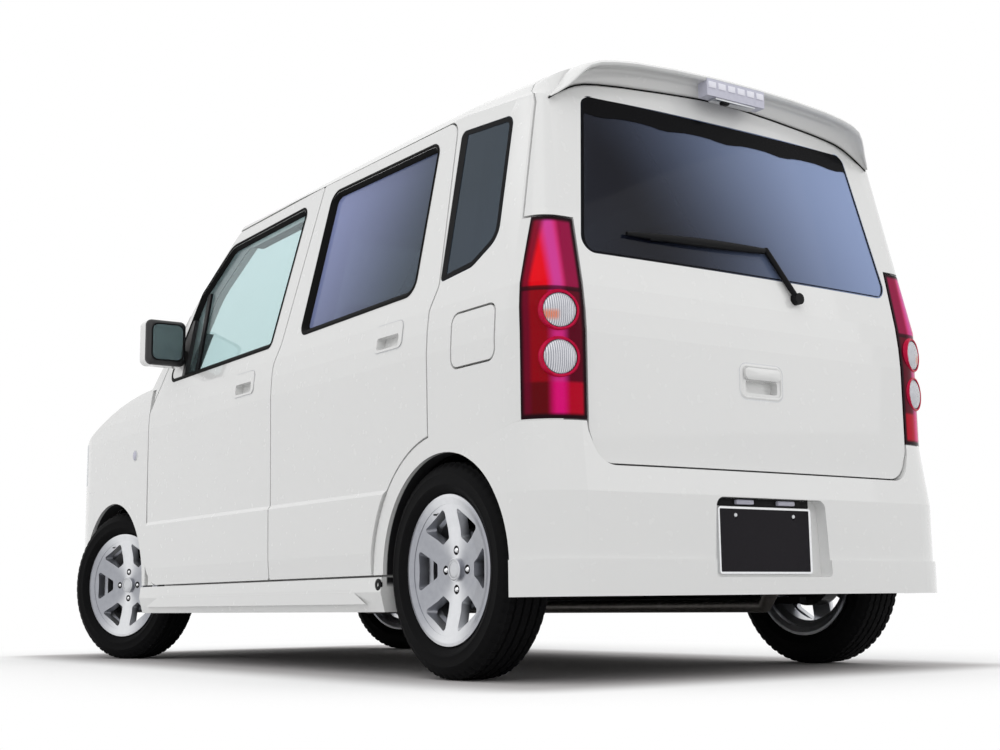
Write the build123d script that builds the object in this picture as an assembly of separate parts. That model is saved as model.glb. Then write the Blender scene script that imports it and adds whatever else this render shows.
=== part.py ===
from build123d import *
import os
from math import asin, cos, radians, sin, tan

# Kei car: a tall five-door wagon with right-hand drive, front wheels steered to the left as it stands.
# Millimetres. +X is forward, +Y is left, +Z is up. The origin is on the ground under the middle of the car.

# Driving dimensions
LENGTH = 3395.0
WIDTH = 1475.0
HEIGHT = 1635.0
WHEELBASE = 2360.0
REAR_OVERHANG = 470.0
FRONT_TRACK = 1295.0
REAR_TRACK = 1290.0
TYRE_RADIUS = 278.5
TYRE_WIDTH = 155.0
RIM_RADIUS = 178.0
FLANGE_RADIUS = 194.0
RIM_HALF_WIDTH = 57.0
STEER_REST = 20.0
KINGPIN_Y = 540.0

# Walls, gaps and clearances
DOOR_PAD = 8.0
DOOR_DEPTH = 62.0
RING_GAP = 6.0
WALL = 112.0
REAR_WALL = 90.0
TRIM_DEPTH = 100.0
ROOF_DEPTH = 45.0
HOOD_DEPTH = 40.0
SHUT = 6.0
FRAME_LAP = 30.0
SEAL = 12.0
FLAP_DEPTH = 12.0
TRIM_GAP = 12.0
SEAT = 0.3
GLASS_DEPTH = 16.0
GLASS = 5.0
HEM = 24.0
HEM_STEP = 8.0
HOUSE = 12.0

# Heights
UNDERSIDE = 180.0
SILL_TOP = 266.0
DOOR_BOTTOM = 272.0
CREASE = 497.0
BUMPER_TOP = 625.0
GATE_BOTTOM = 525.0
LAMP_TOP = 1135.0
FLOOR_LOW = 200.0
FLOOR_SEAT = 330.0
FLOOR_LUGGAGE = 430.0
FLOOR_SHEET = 40.0
BONNET_CUT = 780.0

# Lengths along the car
REAR_X = -LENGTH / 2
FRONT_X = LENGTH / 2
REAR_AXLE = REAR_X + REAR_OVERHANG
FRONT_AXLE = REAR_AXLE + WHEELBASE
GATE_X = REAR_X + 29.5
GATE_SIDE_X = GATE_X + 116.0
GATE_HINGE_X = GATE_X + 180.0
DASH_X = 850.0
COWL_X = 955.0
BONNET_FRONT = FRONT_X - 112.0
FENDER_X = 778.0

# Body block: upright skin, then a shoulder that leans in by steps
SKIN = WIDTH / 2 - DOOR_PAD
REAR_BOW = 20.0
FRONT_BOW = 60.0
NOSE_ROOM = 30.0
FRONT_CORNER = 330.0
REAR_CORNER = 140.0
# Columns: height of the step's top, lean in degrees, rear corner radius at the top
LEAN_STEPS = ((845.0, 0.0, REAR_CORNER), (905.0, 3.5, 120.0), (965.0, 7.0, 95.0), (HEIGHT + 40.0, 10.5, 6.0))

# Crown: roof, windscreen, bonnet and nose, turned about an upright axis so that they bow across the car
CROWN_AXIS = -900.0
ROOF_FLAT = 400.0
# Columns: x, z, and the way to the inside of the car along x and z
CROWN_POINTS = {
    "roof_end": (300.0, 1565.0, -0.32, -0.97),
    "screen_mid": (640.0, 1300.0, -0.66, -0.75),
    "screen_foot": (935.0, 1000.0, -0.60, -0.93),
    "bonnet_mid": (1360.0, 932.0, -0.15, -0.99),
    "bonnet_end": (1580.0, 850.0, -0.60, -0.80),
    "nose_end": (FRONT_X, 560.0, -1.0, 0.0),
}

# Wheel arches
ARCH_SHIFT = -12.0
REAR_ARCH = 300.0
FRONT_ARCH = 312.0
REAR_WELL = 306.0
FRONT_WELL = 352.0
REAR_WELL_Y = 540.0
FRONT_WELL_Y = 385.0
DOOR_ARCH = 357.0
FRONT_HOUSE_END = 620.0
REAR_HOUSE_END = 655.0

# Outlines on the side of the body. Columns: x, z, corner radius
FRONT_DOOR = (
    (765, DOOR_BOTTOM, 110), (775, 905, 40), (712, 990, 20), (490, 1335, 300),
    (235, 1497, 60), (-385, 1512, 8), (-272, 1012, 60), (-236, 945, 60), (-250, DOOR_BOTTOM, 10),
)
REAR_DOOR = (
    (-256, DOOR_BOTTOM, 10), (-242, 945, 60), (-278, 1012, 60), (-391, 1512, 8),
    (-1160, 1510, 45), (-1192, 1030, 30), (-1160, 965, 60), (-1168, 560, 0), (-1168, DOOR_BOTTOM, 0),
)
FRONT_WINDOW = ((-192, 1020, 20), (-285, 1463, 25), (275, 1447, 90), (470, 1312, 60), (628, 1012, 25))
REAR_WINDOW = ((-405, 1026, 25), (-462, 1467, 40), (-1075, 1463, 30), (-1062, 1036, 40))
QUARTER_WINDOW = (
    (-1198, 1036, 15), (-1190, 1470, 20), (-1441, 1448, 35), (-1452, 1108, 60), (-1345, 1050, 60),
)
FUEL_FLAP = ((-1286, 792, 25), (-1286, 930, 25), (-1478, 930, 25), (-1478, 792, 25))
GATE_SIDE = (
    (GATE_X - 120, LAMP_TOP + SHUT, 0), (GATE_SIDE_X, LAMP_TOP + SHUT, 0), (GATE_SIDE_X + 22, 1457, 0),
    (GATE_SIDE_X + 60, 1560, 0), (GATE_HINGE_X - 3, 1590, 0), (GATE_HINGE_X - 3, HEIGHT + 60, 0),
    (GATE_X - 120, HEIGHT + 60, 0),
)
BUMPER_SIDE = (
    (GATE_X - 120, 150, 0), (-1290, 150, 0), (-1345, 574, 0), (-1562, BUMPER_TOP, 0),
    (GATE_X - 120, BUMPER_TOP, 0),
)
# Outlines seen from the rear or the front. Columns: y, z, corner radius
GATE_LOWER = ((-575, LAMP_TOP + 20, 0), (575, LAMP_TOP + 20, 0), (575, 605, 60), (548, GATE_BOTTOM, 60),
              (-548, GATE_BOTTOM, 60), (-575, 605, 60))
GATE_GLASS = ((-567, 1052, 40), (567, 1052, 40), (492, 1497, 35), (-492, 1497, 35))
GATE_MOUTH = ((-510, 580, 60), (510, 580, 60), (470, 1470, 60), (-470, 1470, 60))
SCREEN = ((-622, 1003, 25), (622, 1003, 25), (526, 1552, 40), (-526, 1552, 40))
HEADLAMP = ((400, 690, 20), (400, 790, 25), (560, 850, 40), (800, 850, 0), (800, 700, 0), (600, 662, 40))
PLATE_RECESS = ((-210, 250, 12), (210, 250, 12), (196, 452, 25), (-196, 452, 25))
GRILLE = ((-394, 700, 15), (394, 700, 15), (394, 800, 20), (-394, 800, 20))
INTAKE = ((-380, 300, 30), (380, 300, 30), (400, 430, 30), (-400, 430, 30))
SPOILER_ARCH = (
    (-650, 1462, 0), (-480, 1584, 90), (0, 1607, 2400), (480, 1584, 90), (650, 1462, 0),
    (600, 1436, 0), (440, 1538, 90), (0, 1560, 2400), (-440, 1538, 90), (-600, 1436, 0),
)
ROOF_HALF = 548.0
COWL_HALF = 616.0
# Outlines seen from above. Columns: x, y, corner radius
BONNET_PLAN = ((COWL_X + 6, -612, 30), (COWL_X + 6, 612, 30), (BONNET_FRONT, 560, 120), (BONNET_FRONT, -560, 120))
SPOILER_FRONT = GATE_HINGE_X - 8.0
SPOILER_END = GATE_X + 52.0
SPOILER_PLAN = ((SPOILER_FRONT, -645, 0), (SPOILER_FRONT, 645, 0), (SPOILER_END, 520, 50), (SPOILER_END, -520, 50))

# Stop lamp under the spoiler's rear edge
STOP_LAMP_HALF = 108.0
STOP_LAMP_LOW = 1550.0
STOP_LAMP_HIGH = 1598.0
STOP_LAMP_DEPTH = 36.0

# Doors: height of the joint between panel and window frame, and the middle of the handle along x and z
FRAME_FOOT = {"front": 945.0, "rear": 1012.0}
HANDLE_AT = {"front": (-35.0, 912.0), "rear": (-960.0, 925.0)}
GATE_HANDLE_Z = 760.0
HANDLE_LONG = 150.0
HANDLE_TALL = 76.0
HANDLE_PROUD = 2.5
GRIP_LONG = 116.0
GRIP_TALL = 34.0
GRIP_DEPTH = 24.0
GRIP_DROP = 14.0

# Front panels
HEADLAMP_X = 1430.0
BUMPER_FRONT_X = 1330.0
BUMPER_FRONT_TOP = 650.0
SLAT_HALF = 370.0
SLAT_PITCH = 29.0
SLAT_GAP = 16.0
SLAT_FIRST = 712.0
SLATS = 3

# Chassis
STRUT_MOUNT = 45.0
STRUT_RADIUS = 22.0
STRUT_TOP = 660.0
STRUT_NECK = 600.0
ARM_LOW = 190.0
ARM_HIGH = 212.0
ARM_HALF = 24.0
KNUCKLE_TOP = 366.0
KNUCKLE_RADIUS = 20.0
HUB_RADIUS = 32.0
RAIL_Y = 332.0
RAIL_Z = 440.0
RAIL_HALF = 35.0
RAIL_TALL = 40.0
RAIL_END = 1570.0
TOWER_X = 1505.0
TOWER_RADIUS = 12.0
ENGINE_LOW = 230.0
ENGINE_TOP = 740.0
ENGINE_BACK = 985.0
ENGINE_FRONT = 1480.0
ENGINE_HALF = 280.0
SPINDLE_RADIUS = 14.0
SPINDLE_END = 8.0
DRUM_RADIUS = 105.0
DRUM_BACK = -41.0
DRUM_FACE = 14.0
HUB_FACE = -51.0
BACK_PLATE = 22.0
BACK_PLATE_RADIUS = 90.0
BEAM_RADIUS = 32.0
LINK_Y = 440.0
LINK_X = -885.0
LINK_RADIUS = 18.0
LINK_EYE = 22.0
SPRING_RADIUS = 38.0
PIPE_RADIUS = 20.0
PIPE_Z = 176.0
SILENCER_X = -1490.0
SILENCER_Z = 310.0
SILENCER_RADIUS = 70.0

# Wheels
SPOKES = 6
NUTS = 4
NUT_CIRCLE = 100.0
NUT_WELL = 12.0
CAP_RADIUS = 30.0
# Columns: height above the wheel's middle, inner radius, half spoke there, outer radius, half spoke there, corner
WHEEL_WINDOW = ((-20.0, 104.0, 42.0, 148.0, 50.0, 8.0), (70.0, 78.0, 20.0, 166.0, 24.0, 8.0))

# Number plate with its two bolts
PLATE_WIDE = 330.0
PLATE_TALL = 165.0
PLATE_LOW = 262.0
PLATE = 6.0
RECESS_DEPTH = 42.0
PLATE_BOLT = 3.5
PLATE_BOLT_PITCH = 210.0
PLATE_BOLT_DROP = 24.0

# Steering wheel
RIM_CIRCLE = 178.0
RIM_GRIP = 14.0
STEERING_AT = (470.0, -330.0, 830.0)
STEERING_TILT = -68.0


def rounded(corners, grow=0.0):
    """Face with straight sides and round corners, grown or shrunk all round by the given amount."""
    points = [(first, second) for first, second, radius in corners]
    face = make_face(FilletPolyline(*points, radius=[row[2] for row in corners], close=True))
    return offset(face, grow, kind=Kind.INTERSECTION) if grow else face


def prism_x(face, low, high):
    return extrude(Plane.YZ.offset(low) * face, high - low)


def prism_y(face, low, high):
    return extrude(Plane.XZ.offset(-high) * face, high - low)


def prism_z(face, low, high):
    return extrude(Plane.XY.offset(low) * face, high - low)


def block(x_low, x_high, y_low, y_high, z_low, z_high):
    centre = Pos((x_low + x_high) / 2, (y_low + y_high) / 2, (z_low + z_high) / 2)
    return centre * Box(x_high - x_low, y_high - y_low, z_high - z_low)


def rod(start, end, radius):
    """Round bar between two points."""
    path = Vector(*end) - Vector(*start)
    return extrude(Plane(origin=start, z_dir=path) * Circle(radius), path.length)


def both(left):
    """A left piece with its twin on the right."""
    return Compound(left.solids() + mirror(left, Plane.XZ).solids())


def plan(inset, rear_x=GATE_X, half=SKIN, rear_corner=0.0):
    """Plan outline of the body, set in from the skin."""
    half = half - inset
    rear = rear_x + inset
    front = FRONT_X + NOSE_ROOM - inset
    face = make_face([
        ThreePointArc((rear + REAR_BOW, -half), (rear, 0), (rear + REAR_BOW, half)),
        Line((rear + REAR_BOW, half), (front - FRONT_BOW, half)),
        ThreePointArc((front - FRONT_BOW, half), (front, 0), (front - FRONT_BOW, -half)),
        Line((front - FRONT_BOW, -half), (rear + REAR_BOW, -half)),
    ])
    face = fillet(face.vertices().sort_by(Axis.X)[-2:], FRONT_CORNER - inset)
    if rear_corner:
        face = fillet(face.vertices().sort_by(Axis.X)[:2], rear_corner)
    return face


def tub(inset, round_rear=False, rear_x=GATE_X):
    """Body block at a depth below the skin, with round or sharp rear corners."""
    low = UNDERSIDE
    corner = REAR_CORNER
    body = None
    for high, lean, next_corner in LEAN_STEPS:
        foot = Plane.XY.offset(low) * plan(inset, rear_x, rear_corner=corner if round_rear else 0.0)
        inset += (high - low) * tan(radians(lean))
        head = Plane.XY.offset(high) * plan(inset, rear_x, rear_corner=next_corner if round_rear else 0.0)
        step = loft([foot, head], ruled=True)
        body = step if body is None else body + step
        low, corner = high, next_corner
    return body


def crown(drop):
    """Everything under roof, windscreen, bonnet and nose, at a depth below them."""
    at = {name: (x - CROWN_AXIS + drop * in_x, z + drop * in_z)
          for name, (x, z, in_x, in_z) in CROWN_POINTS.items()}
    top = HEIGHT - drop
    nose = at["nose_end"]
    half = make_face([
        Line((0, -UNDERSIDE), (0, top)),
        Line((0, top), (ROOF_FLAT, top)),
        TangentArc((ROOF_FLAT, top), at["roof_end"], tangent=(1, 0)),
        ThreePointArc(at["roof_end"], at["screen_mid"], at["screen_foot"]),
        ThreePointArc(at["screen_foot"], at["bonnet_mid"], at["bonnet_end"]),
        TangentArc(nose, at["bonnet_end"], tangent=(0, 1)),
        Line(nose, (nose[0], -UNDERSIDE)),
        Line((nose[0], -UNDERSIDE), (0, -UNDERSIDE)),
    ])
    return Pos(CROWN_AXIS, 0, 0) * revolve(Plane.XZ * half, Axis.Z)


SKIN_BLOCK = tub(0.0, round_rear=True) & crown(0.0)
PROUD_BLOCK = tub(-SEAT, round_rear=True) & crown(-SEAT)
SLAB_BLOCK = tub(DOOR_DEPTH)
SEAL_BLOCK = tub(DOOR_DEPTH + SEAT)
RING_BLOCK = tub(DOOR_DEPTH + RING_GAP)
TRIM_BLOCK = tub(TRIM_DEPTH)
HEM_BLOCK = tub(HEM)
CABIN = tub(WALL, rear_x=GATE_X - WALL + REAR_WALL) & crown(ROOF_DEPTH)
CABIN &= block(REAR_X, DASH_X, -WIDTH, WIDTH, FLOOR_LOW, HEIGHT)
FRONT_INSIDE = SLAB_BLOCK & crown(HOOD_DEPTH)


def arch(axle_x, radius, y_low, y_high):
    """Drum-shaped cut of a wheel arch, open below."""
    centre = axle_x + ARCH_SHIFT
    drum = prism_y(Pos(centre, TYRE_RADIUS) * Circle(radius), y_low, y_high)
    return drum + block(centre - radius, centre + radius, y_low, y_high, 0, TYRE_RADIUS)


def wells(grow=0.0):
    """Room for the left wheels behind the outer skin."""
    high = SKIN - DOOR_DEPTH + grow
    rear = arch(REAR_AXLE, REAR_WELL + grow, REAR_WELL_Y - grow, high)
    return rear + arch(FRONT_AXLE, FRONT_WELL + grow, FRONT_WELL_Y - grow, high)


LEFT_ARCHES = arch(REAR_AXLE, REAR_ARCH, REAR_WELL_Y, WIDTH) + arch(FRONT_AXLE, FRONT_ARCH, FRONT_WELL_Y, WIDTH)
LEFT_WELLS = wells()
HOUSE_ROOM = wells(HOUSE + SEAT)
DOOR_ARCH_CUT = Pos(REAR_AXLE + ARCH_SHIFT, TYRE_RADIUS) * Circle(DOOR_ARCH)


def door_faces():
    """Front and rear door outlines with their windows."""
    front = rounded(FRONT_DOOR)
    rear = rounded(REAR_DOOR) - DOOR_ARCH_CUT
    return {"front": (front, rounded(FRONT_WINDOW)), "rear": (rear, rounded(REAR_WINDOW))}


DOOR_FACES = door_faces()


def slab(wide, tall, middle, height, radius):
    """Upright rectangle with round corners about a point."""
    return Pos(middle, height) * RectangleRounded(wide, tall, radius)


def door(name):
    """Left door in two pieces: a panel with pad, trim and handle, and the window frame that stands on it."""
    face, window = DOOR_FACES[name]
    leaf = (prism_y(face, FRONT_WELL_Y, WIDTH) & SKIN_BLOCK) - SLAB_BLOCK
    leaf -= HEM_BLOCK - prism_y(offset(face, -HEM_STEP, kind=Kind.INTERSECTION), 0, WIDTH)
    inner = offset(face, -FRAME_LAP - TRIM_GAP, kind=Kind.INTERSECTION)
    trim = (prism_y(inner, FRONT_WELL_Y, WIDTH) & SLAB_BLOCK & crown(0.0)) - TRIM_BLOCK
    pad_section = make_face(Polyline(
        (SKIN - DOOR_PAD, DOOR_BOTTOM), (SKIN + DOOR_PAD / 2, DOOR_BOTTOM), (SKIN + DOOR_PAD, DOOR_BOTTOM + 60),
        (SKIN + DOOR_PAD, CREASE - DOOR_PAD), (SKIN, CREASE + DOOR_PAD / 2), (SKIN - DOOR_PAD, CREASE), close=True))
    pad = prism_x(pad_section, REAR_X, FRONT_X) & prism_y(face, 0, WIDTH)
    x, z = HANDLE_AT[name]
    lid = prism_y(slab(HANDLE_LONG, HANDLE_TALL, x, z, HANDLE_TALL / 4), 0, WIDTH) & tub(-HANDLE_PROUD)
    grip = prism_y(slab(GRIP_LONG, GRIP_TALL, x, z - GRIP_DROP, GRIP_TALL / 4), 0, WIDTH) - tub(GRIP_DEPTH)
    whole = (leaf + trim + pad + (lid - HEM_BLOCK)) - grip - prism_y(window, 0, WIDTH)
    foot = FRAME_FOOT[name]
    panel = whole & block(REAR_X, FRONT_X, 0, WIDTH, 0, foot)
    return panel, whole & block(REAR_X, FRONT_X, 0, WIDTH, foot, HEIGHT)


def lean_at(height):
    """How far the side leans in at a height."""
    inset, low = 0.0, UNDERSIDE
    for high, lean, corner in LEAN_STEPS:
        inset += max(min(height, high) - low, 0.0) * tan(radians(lean))
        low = high
    return inset


def pane(window, depth):
    """Left pane in the leaning part of the side, at a depth below the skin."""
    outline = offset(window, -SEAT, kind=Kind.INTERSECTION)
    low = LEAN_STEPS[-2][0]
    foot, head = SKIN - depth - lean_at(low), SKIN - depth - lean_at(HEIGHT)
    sheet = make_face(Polyline((foot, low), (head, HEIGHT), (head - GLASS, HEIGHT), (foot - GLASS, low), close=True))
    return prism_y(outline, FRONT_WELL_Y, WIDTH) & prism_x(sheet, REAR_X, FRONT_X)


def rear_zone(grow=0.0):
    """Everything that the tailgate takes from the body."""
    upper = prism_y(rounded(GATE_SIDE, grow), -WIDTH, WIDTH)
    lower = prism_x(rounded(GATE_LOWER, grow), GATE_X - 120, GATE_SIDE_X)
    return upper + lower


def body_side():
    """Left pillars, roof rail, sill and rear quarter in one pressing, with door openings and quarter window."""
    wall = (SKIN_BLOCK - CABIN) & block(REAR_X, COWL_X, 500, WIDTH, UNDERSIDE, HEIGHT)
    for face, window in DOOR_FACES.values():
        outer = prism_y(offset(face, SHUT, kind=Kind.INTERSECTION), 0, WIDTH)
        wall -= outer - SEAL_BLOCK
        wall -= (outer - prism_y(offset(face, SEAL - FRAME_LAP, kind=Kind.INTERSECTION), 0, WIDTH)) - RING_BLOCK
        wall -= prism_y(offset(face, -FRAME_LAP, kind=Kind.INTERSECTION), 0, WIDTH)
    wall -= prism_y(rounded(QUARTER_WINDOW), 0, WIDTH)
    wall -= prism_x(rounded(SCREEN, SEAT), 0, FRONT_X)
    wall -= block(REAR_X, FRONT_X, 0, ROOF_HALF + SEAT, 1475, HEIGHT + 60)
    stop = block(GATE_X, GATE_SIDE_X, 530, 550, 700, 1100) & SEAL_BLOCK
    wall -= (rear_zone(SHUT) - RING_BLOCK) - stop
    wall -= prism_x(rounded(GATE_MOUTH), REAR_X, GATE_X + 300)
    wall -= prism_y(rounded(BUMPER_SIDE, SEAT), 0, WIDTH)
    wall -= block(FENDER_X - 30, COWL_X + 1, 0, WIDTH, 0, 994) - (RING_BLOCK & crown(HOOD_DEPTH + RING_GAP))
    wall -= block(700 - SEAT, COWL_X + 1, 0, COWL_HALF + SEAT, 900, 1003)
    wall -= block(-1000, 900, 0, WIDTH, 0, SILL_TOP + SHUT) - RING_BLOCK
    wall -= lamp_block(SEAT)
    wall -= LEFT_ARCHES
    wall -= HOUSE_ROOM
    pocket = prism_y(rounded(FUEL_FLAP, SHUT), 0, WIDTH) - tub(40.0)
    wall -= pocket - (rod((-1430, 0, 825), (-1430, WIDTH, 825), 8) & tub(FLAP_DEPTH + SEAT))
    return wall


def lamp_block(grow=0.0):
    """Corner that the left tail lamp fills."""
    corner = block(GATE_X - 120, GATE_SIDE_X - 20 + grow, 581 - grow, WIDTH, BUMPER_TOP + 3 - grow, LAMP_TOP + grow)
    return (corner & SKIN_BLOCK) - tub(DOOR_DEPTH + grow)


def tailgate():
    """Rear door with its window cut, a lower panel that bends in and a handle."""
    leaf = (rear_zone() & SKIN_BLOCK) - SLAB_BLOCK
    leaf -= prism_x(rounded(GATE_GLASS), REAR_X - 100, GATE_X + 400)
    grip = slab(GRIP_LONG, GRIP_TALL, 0, GATE_HANDLE_Z - GRIP_DROP, GRIP_TALL / 4)
    return leaf - prism_x(grip, REAR_X, GATE_X + GRIP_DEPTH)


def tailgate_glass():
    face = rounded(GATE_GLASS, -SEAT)
    return (prism_x(face, REAR_X - 100, GATE_X + 400) & tub(1.0)) - tub(1.0 + GLASS)


def rear_bumper():
    """Bumper that rises at the corners, with a lower skirt and a recess for the plate."""
    face_x = REAR_X + 6.0
    outer = extrude(Plane.XY.offset(212) * plan(0, face_x, SKIN + 5, rear_corner=REAR_CORNER), 243)
    low = Plane.XY.offset(455) * plan(0, face_x, SKIN + 5, rear_corner=REAR_CORNER)
    high = Plane.XY.offset(BUMPER_TOP) * plan(0, rear_corner=REAR_CORNER)
    outer += loft([low, high], ruled=True)
    outer += extrude(Plane.XY.offset(206) * plan(0, REAR_X, SKIN + DOOR_PAD, rear_corner=REAR_CORNER), 88)
    shell = outer & prism_y(rounded(BUMPER_SIDE), -WIDTH, WIDTH)
    shell -= Pos(0, 0, -400) * tub(50.0)
    shell -= rear_zone(SHUT)
    arches = LEFT_ARCHES + LEFT_WELLS
    shell -= arches
    shell -= mirror(arches, Plane.XZ)
    shell -= prism_x(rounded(PLATE_RECESS), REAR_X - 20, REAR_X + RECESS_DEPTH)
    return shell - plate_bolts()


def plate_bolts():
    """Bolt holes through plate and bumper."""
    height = PLATE_LOW + PLATE_TALL - PLATE_BOLT_DROP
    hole = rod((REAR_X, PLATE_BOLT_PITCH / 2, height), (GATE_X + 120, PLATE_BOLT_PITCH / 2, height), PLATE_BOLT)
    return both(hole)


def number_plate():
    """Blank plate on the bottom of its recess."""
    plate = block(REAR_X + RECESS_DEPTH - PLATE, REAR_X + RECESS_DEPTH, -PLATE_WIDE / 2, PLATE_WIDE / 2,
                  PLATE_LOW, PLATE_LOW + PLATE_TALL)
    return plate - plate_bolts()


def front_shell():
    """Nose of the car ahead of the doors, as a thick skin."""
    return (SKIN_BLOCK - FRONT_INSIDE) & block(FENDER_X, FRONT_X, -WIDTH, WIDTH, UNDERSIDE, 994)


FRONT_SHELL = front_shell()


def bonnet_zone(grow=0.0):
    top = prism_z(rounded(BONNET_PLAN, grow), BONNET_CUT, HEIGHT)
    return top - block(1500, FRONT_X, -WIDTH, WIDTH, 0, 800 + SHUT - grow)


def headlamp_zone(grow=0.0):
    return prism_x(rounded(HEADLAMP, grow), HEADLAMP_X - grow, FRONT_X)


def bumper_zone(grow=0.0):
    return block(BUMPER_FRONT_X - grow, FRONT_X, -WIDTH, WIDTH, 0, BUMPER_FRONT_TOP + grow)


def fender():
    panel = FRONT_SHELL & block(FENDER_X + 3, FRONT_X, 0, WIDTH, SILL_TOP + SHUT, 994)
    panel -= prism_y(offset(DOOR_FACES["front"][0], SHUT, kind=Kind.INTERSECTION), 0, WIDTH)
    panel -= bonnet_zone(SHUT)
    panel -= headlamp_zone(SEAT)
    panel -= bumper_zone(SEAT)
    panel -= block(FENDER_X, COWL_X + 6, 0, COWL_HALF + SHUT, 0, HEIGHT)
    panel -= block(1480, FRONT_X, 0, 400, 0, HEIGHT)
    panel -= LEFT_ARCHES
    return panel


def front_bumper():
    shell = FRONT_SHELL & bumper_zone()
    shell -= prism_x(rounded(INTAKE), 1300, FRONT_X)
    arches = LEFT_ARCHES + LEFT_WELLS
    shell -= arches
    shell -= mirror(arches, Plane.XZ)
    return shell


def front_grille():
    """Slatted grille between the lamps."""
    frame = FRONT_SHELL & prism_x(rounded(GRILLE, -SEAT), 1480, FRONT_X)
    for slat in range(SLATS):
        low = SLAT_FIRST + SLAT_PITCH * slat
        frame -= block(FRONT_X - 130, FRONT_X + 20, -SLAT_HALF, SLAT_HALF, low, low + SLAT_GAP)
    return frame


def nose_panel():
    """Skin between grille, lamps and bonnet."""
    panel = FRONT_SHELL & block(1480, FRONT_X, -400 + SEAT, 400 - SEAT, BUMPER_FRONT_TOP + SEAT, 994)
    panel -= prism_x(rounded(GRILLE), 1300, FRONT_X)
    panel -= bonnet_zone(SHUT)
    return panel


def roof_panel():
    panel = (SKIN_BLOCK - CABIN) & block(GATE_HINGE_X + 4, FRONT_X, -ROOF_HALF, ROOF_HALF, 1475 + SEAT, HEIGHT + 60)
    panel -= prism_x(rounded(SCREEN, SEAT), 0, FRONT_X)
    panel -= prism_x(rounded(GATE_MOUTH), REAR_X, GATE_X + 300)
    panel -= rear_zone(SHUT)
    return panel


def windscreen():
    face = rounded(SCREEN)
    return ((prism_x(face, 0, FRONT_X) & crown(1.0)) - crown(1.0 + GLASS)) & SKIN_BLOCK


def cowl():
    """Panel between bonnet and windscreen."""
    panel = (SKIN_BLOCK - crown(HOOD_DEPTH)) & block(700, COWL_X, -COWL_HALF, COWL_HALF, 900, 1003 - SEAT)
    return panel - block(0, DASH_X, -WIDTH, WIDTH, 0, 990)


def main_solid(shape):
    return shape.solids().sort_by(SortBy.VOLUME)[-1]


def floor_pan():
    """Floor with its steps, firewall, wheel houses, front rails, lamp carrier and rear panel."""
    half = SKIN - WALL - SEAT
    steps = ((DASH_X + 30, FLOOR_LOW), (-460, FLOOR_LOW), (-480, FLOOR_SEAT), (-930, FLOOR_SEAT),
             (-960, FLOOR_LUGGAGE), (GATE_X + REAR_WALL + 20, FLOOR_LUGGAGE))
    over = [(x, z + FLOOR_SHEET) for x, z in reversed(steps)]
    pan = prism_y(make_face(Polyline(*steps, *over, close=True)), -half, half)
    pan += block(DASH_X + SEAT, DASH_X + 30, -499, 499, FLOOR_LOW + 1, 940)
    pan += block(GATE_X + 84, GATE_X + REAR_WALL + 30, -499, 499, FLOOR_LUGGAGE + 1, 575)
    front = arch(FRONT_AXLE, FRONT_WELL + HOUSE, FRONT_WELL_Y - HOUSE, FRONT_HOUSE_END)
    front &= block(0, FRONT_X, 0, WIDTH, FLOOR_LOW + FLOOR_SHEET / 2, HEIGHT)
    rear = arch(REAR_AXLE, REAR_WELL + HOUSE, REAR_WELL_Y - HOUSE, REAR_HOUSE_END)
    rear &= block(REAR_X, 0, 0, WIDTH, FLOOR_LUGGAGE + FLOOR_SHEET / 2, HEIGHT)
    rail = block(DASH_X + 20, RAIL_END, RAIL_Y - RAIL_HALF, RAIL_Y + RAIL_HALF, RAIL_Z - RAIL_TALL, RAIL_Z + RAIL_TALL)
    tower = rod((TOWER_X, RAIL_Y, RAIL_Z), (TOWER_X, RAIL_Y, 900), TOWER_RADIUS) & crown(HOOD_DEPTH + SEAT)
    for piece in (front, rear, rail, tower):
        pan += piece
        pan += mirror(piece, Plane.XZ)
    pan += block(RAIL_END - 40, RAIL_END - 1, -430, 430, RAIL_Z - 60, RAIL_Z + 60)
    room = arch(FRONT_AXLE, FRONT_WELL, FRONT_WELL_Y, WIDTH) + arch(REAR_AXLE, REAR_WELL, REAR_WELL_Y, WIDTH)
    room += Pos(FRONT_AXLE, KINGPIN_Y, STRUT_NECK) * Cylinder(STRUT_MOUNT + SEAT, 200)
    pan -= room
    pan -= mirror(room, Plane.XZ)
    return pan


def front_suspension():
    """Crossmember with lower arms, and the two struts."""
    cross = block(FRONT_AXLE - 100, FRONT_AXLE + 110, -RAIL_Y - 30, RAIL_Y + 30, ARM_LOW, ENGINE_LOW - SEAT)
    post = block(FRONT_AXLE + 20, FRONT_AXLE + 100, RAIL_Y - 30, RAIL_Y + 30, ARM_LOW, RAIL_Z - RAIL_TALL - SEAT)
    arm = block(FRONT_AXLE - ARM_HALF, FRONT_AXLE + ARM_HALF, 0, KINGPIN_Y, ARM_LOW, ARM_HIGH)
    arm += Pos(FRONT_AXLE, KINGPIN_Y, (ARM_LOW + ARM_HIGH) / 2) * Cylinder(ARM_HALF, ARM_HIGH - ARM_LOW)
    for piece in (post, arm):
        cross += piece
        cross += mirror(piece, Plane.XZ)
    strut = rod((FRONT_AXLE, KINGPIN_Y, KNUCKLE_TOP), (FRONT_AXLE, KINGPIN_Y, STRUT_NECK), STRUT_RADIUS)
    strut += rod((FRONT_AXLE, KINGPIN_Y, STRUT_NECK), (FRONT_AXLE, KINGPIN_Y, STRUT_TOP), STRUT_MOUNT)
    return Compound(cross.solids() + both(strut).solids())


def steered(shape, side):
    """Turn a front corner piece to the rest position of the steering."""
    pin = Axis((FRONT_AXLE, side * KINGPIN_Y, 0), (0, 0, 1))
    return shape.rotate(pin, STEER_REST)


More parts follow.
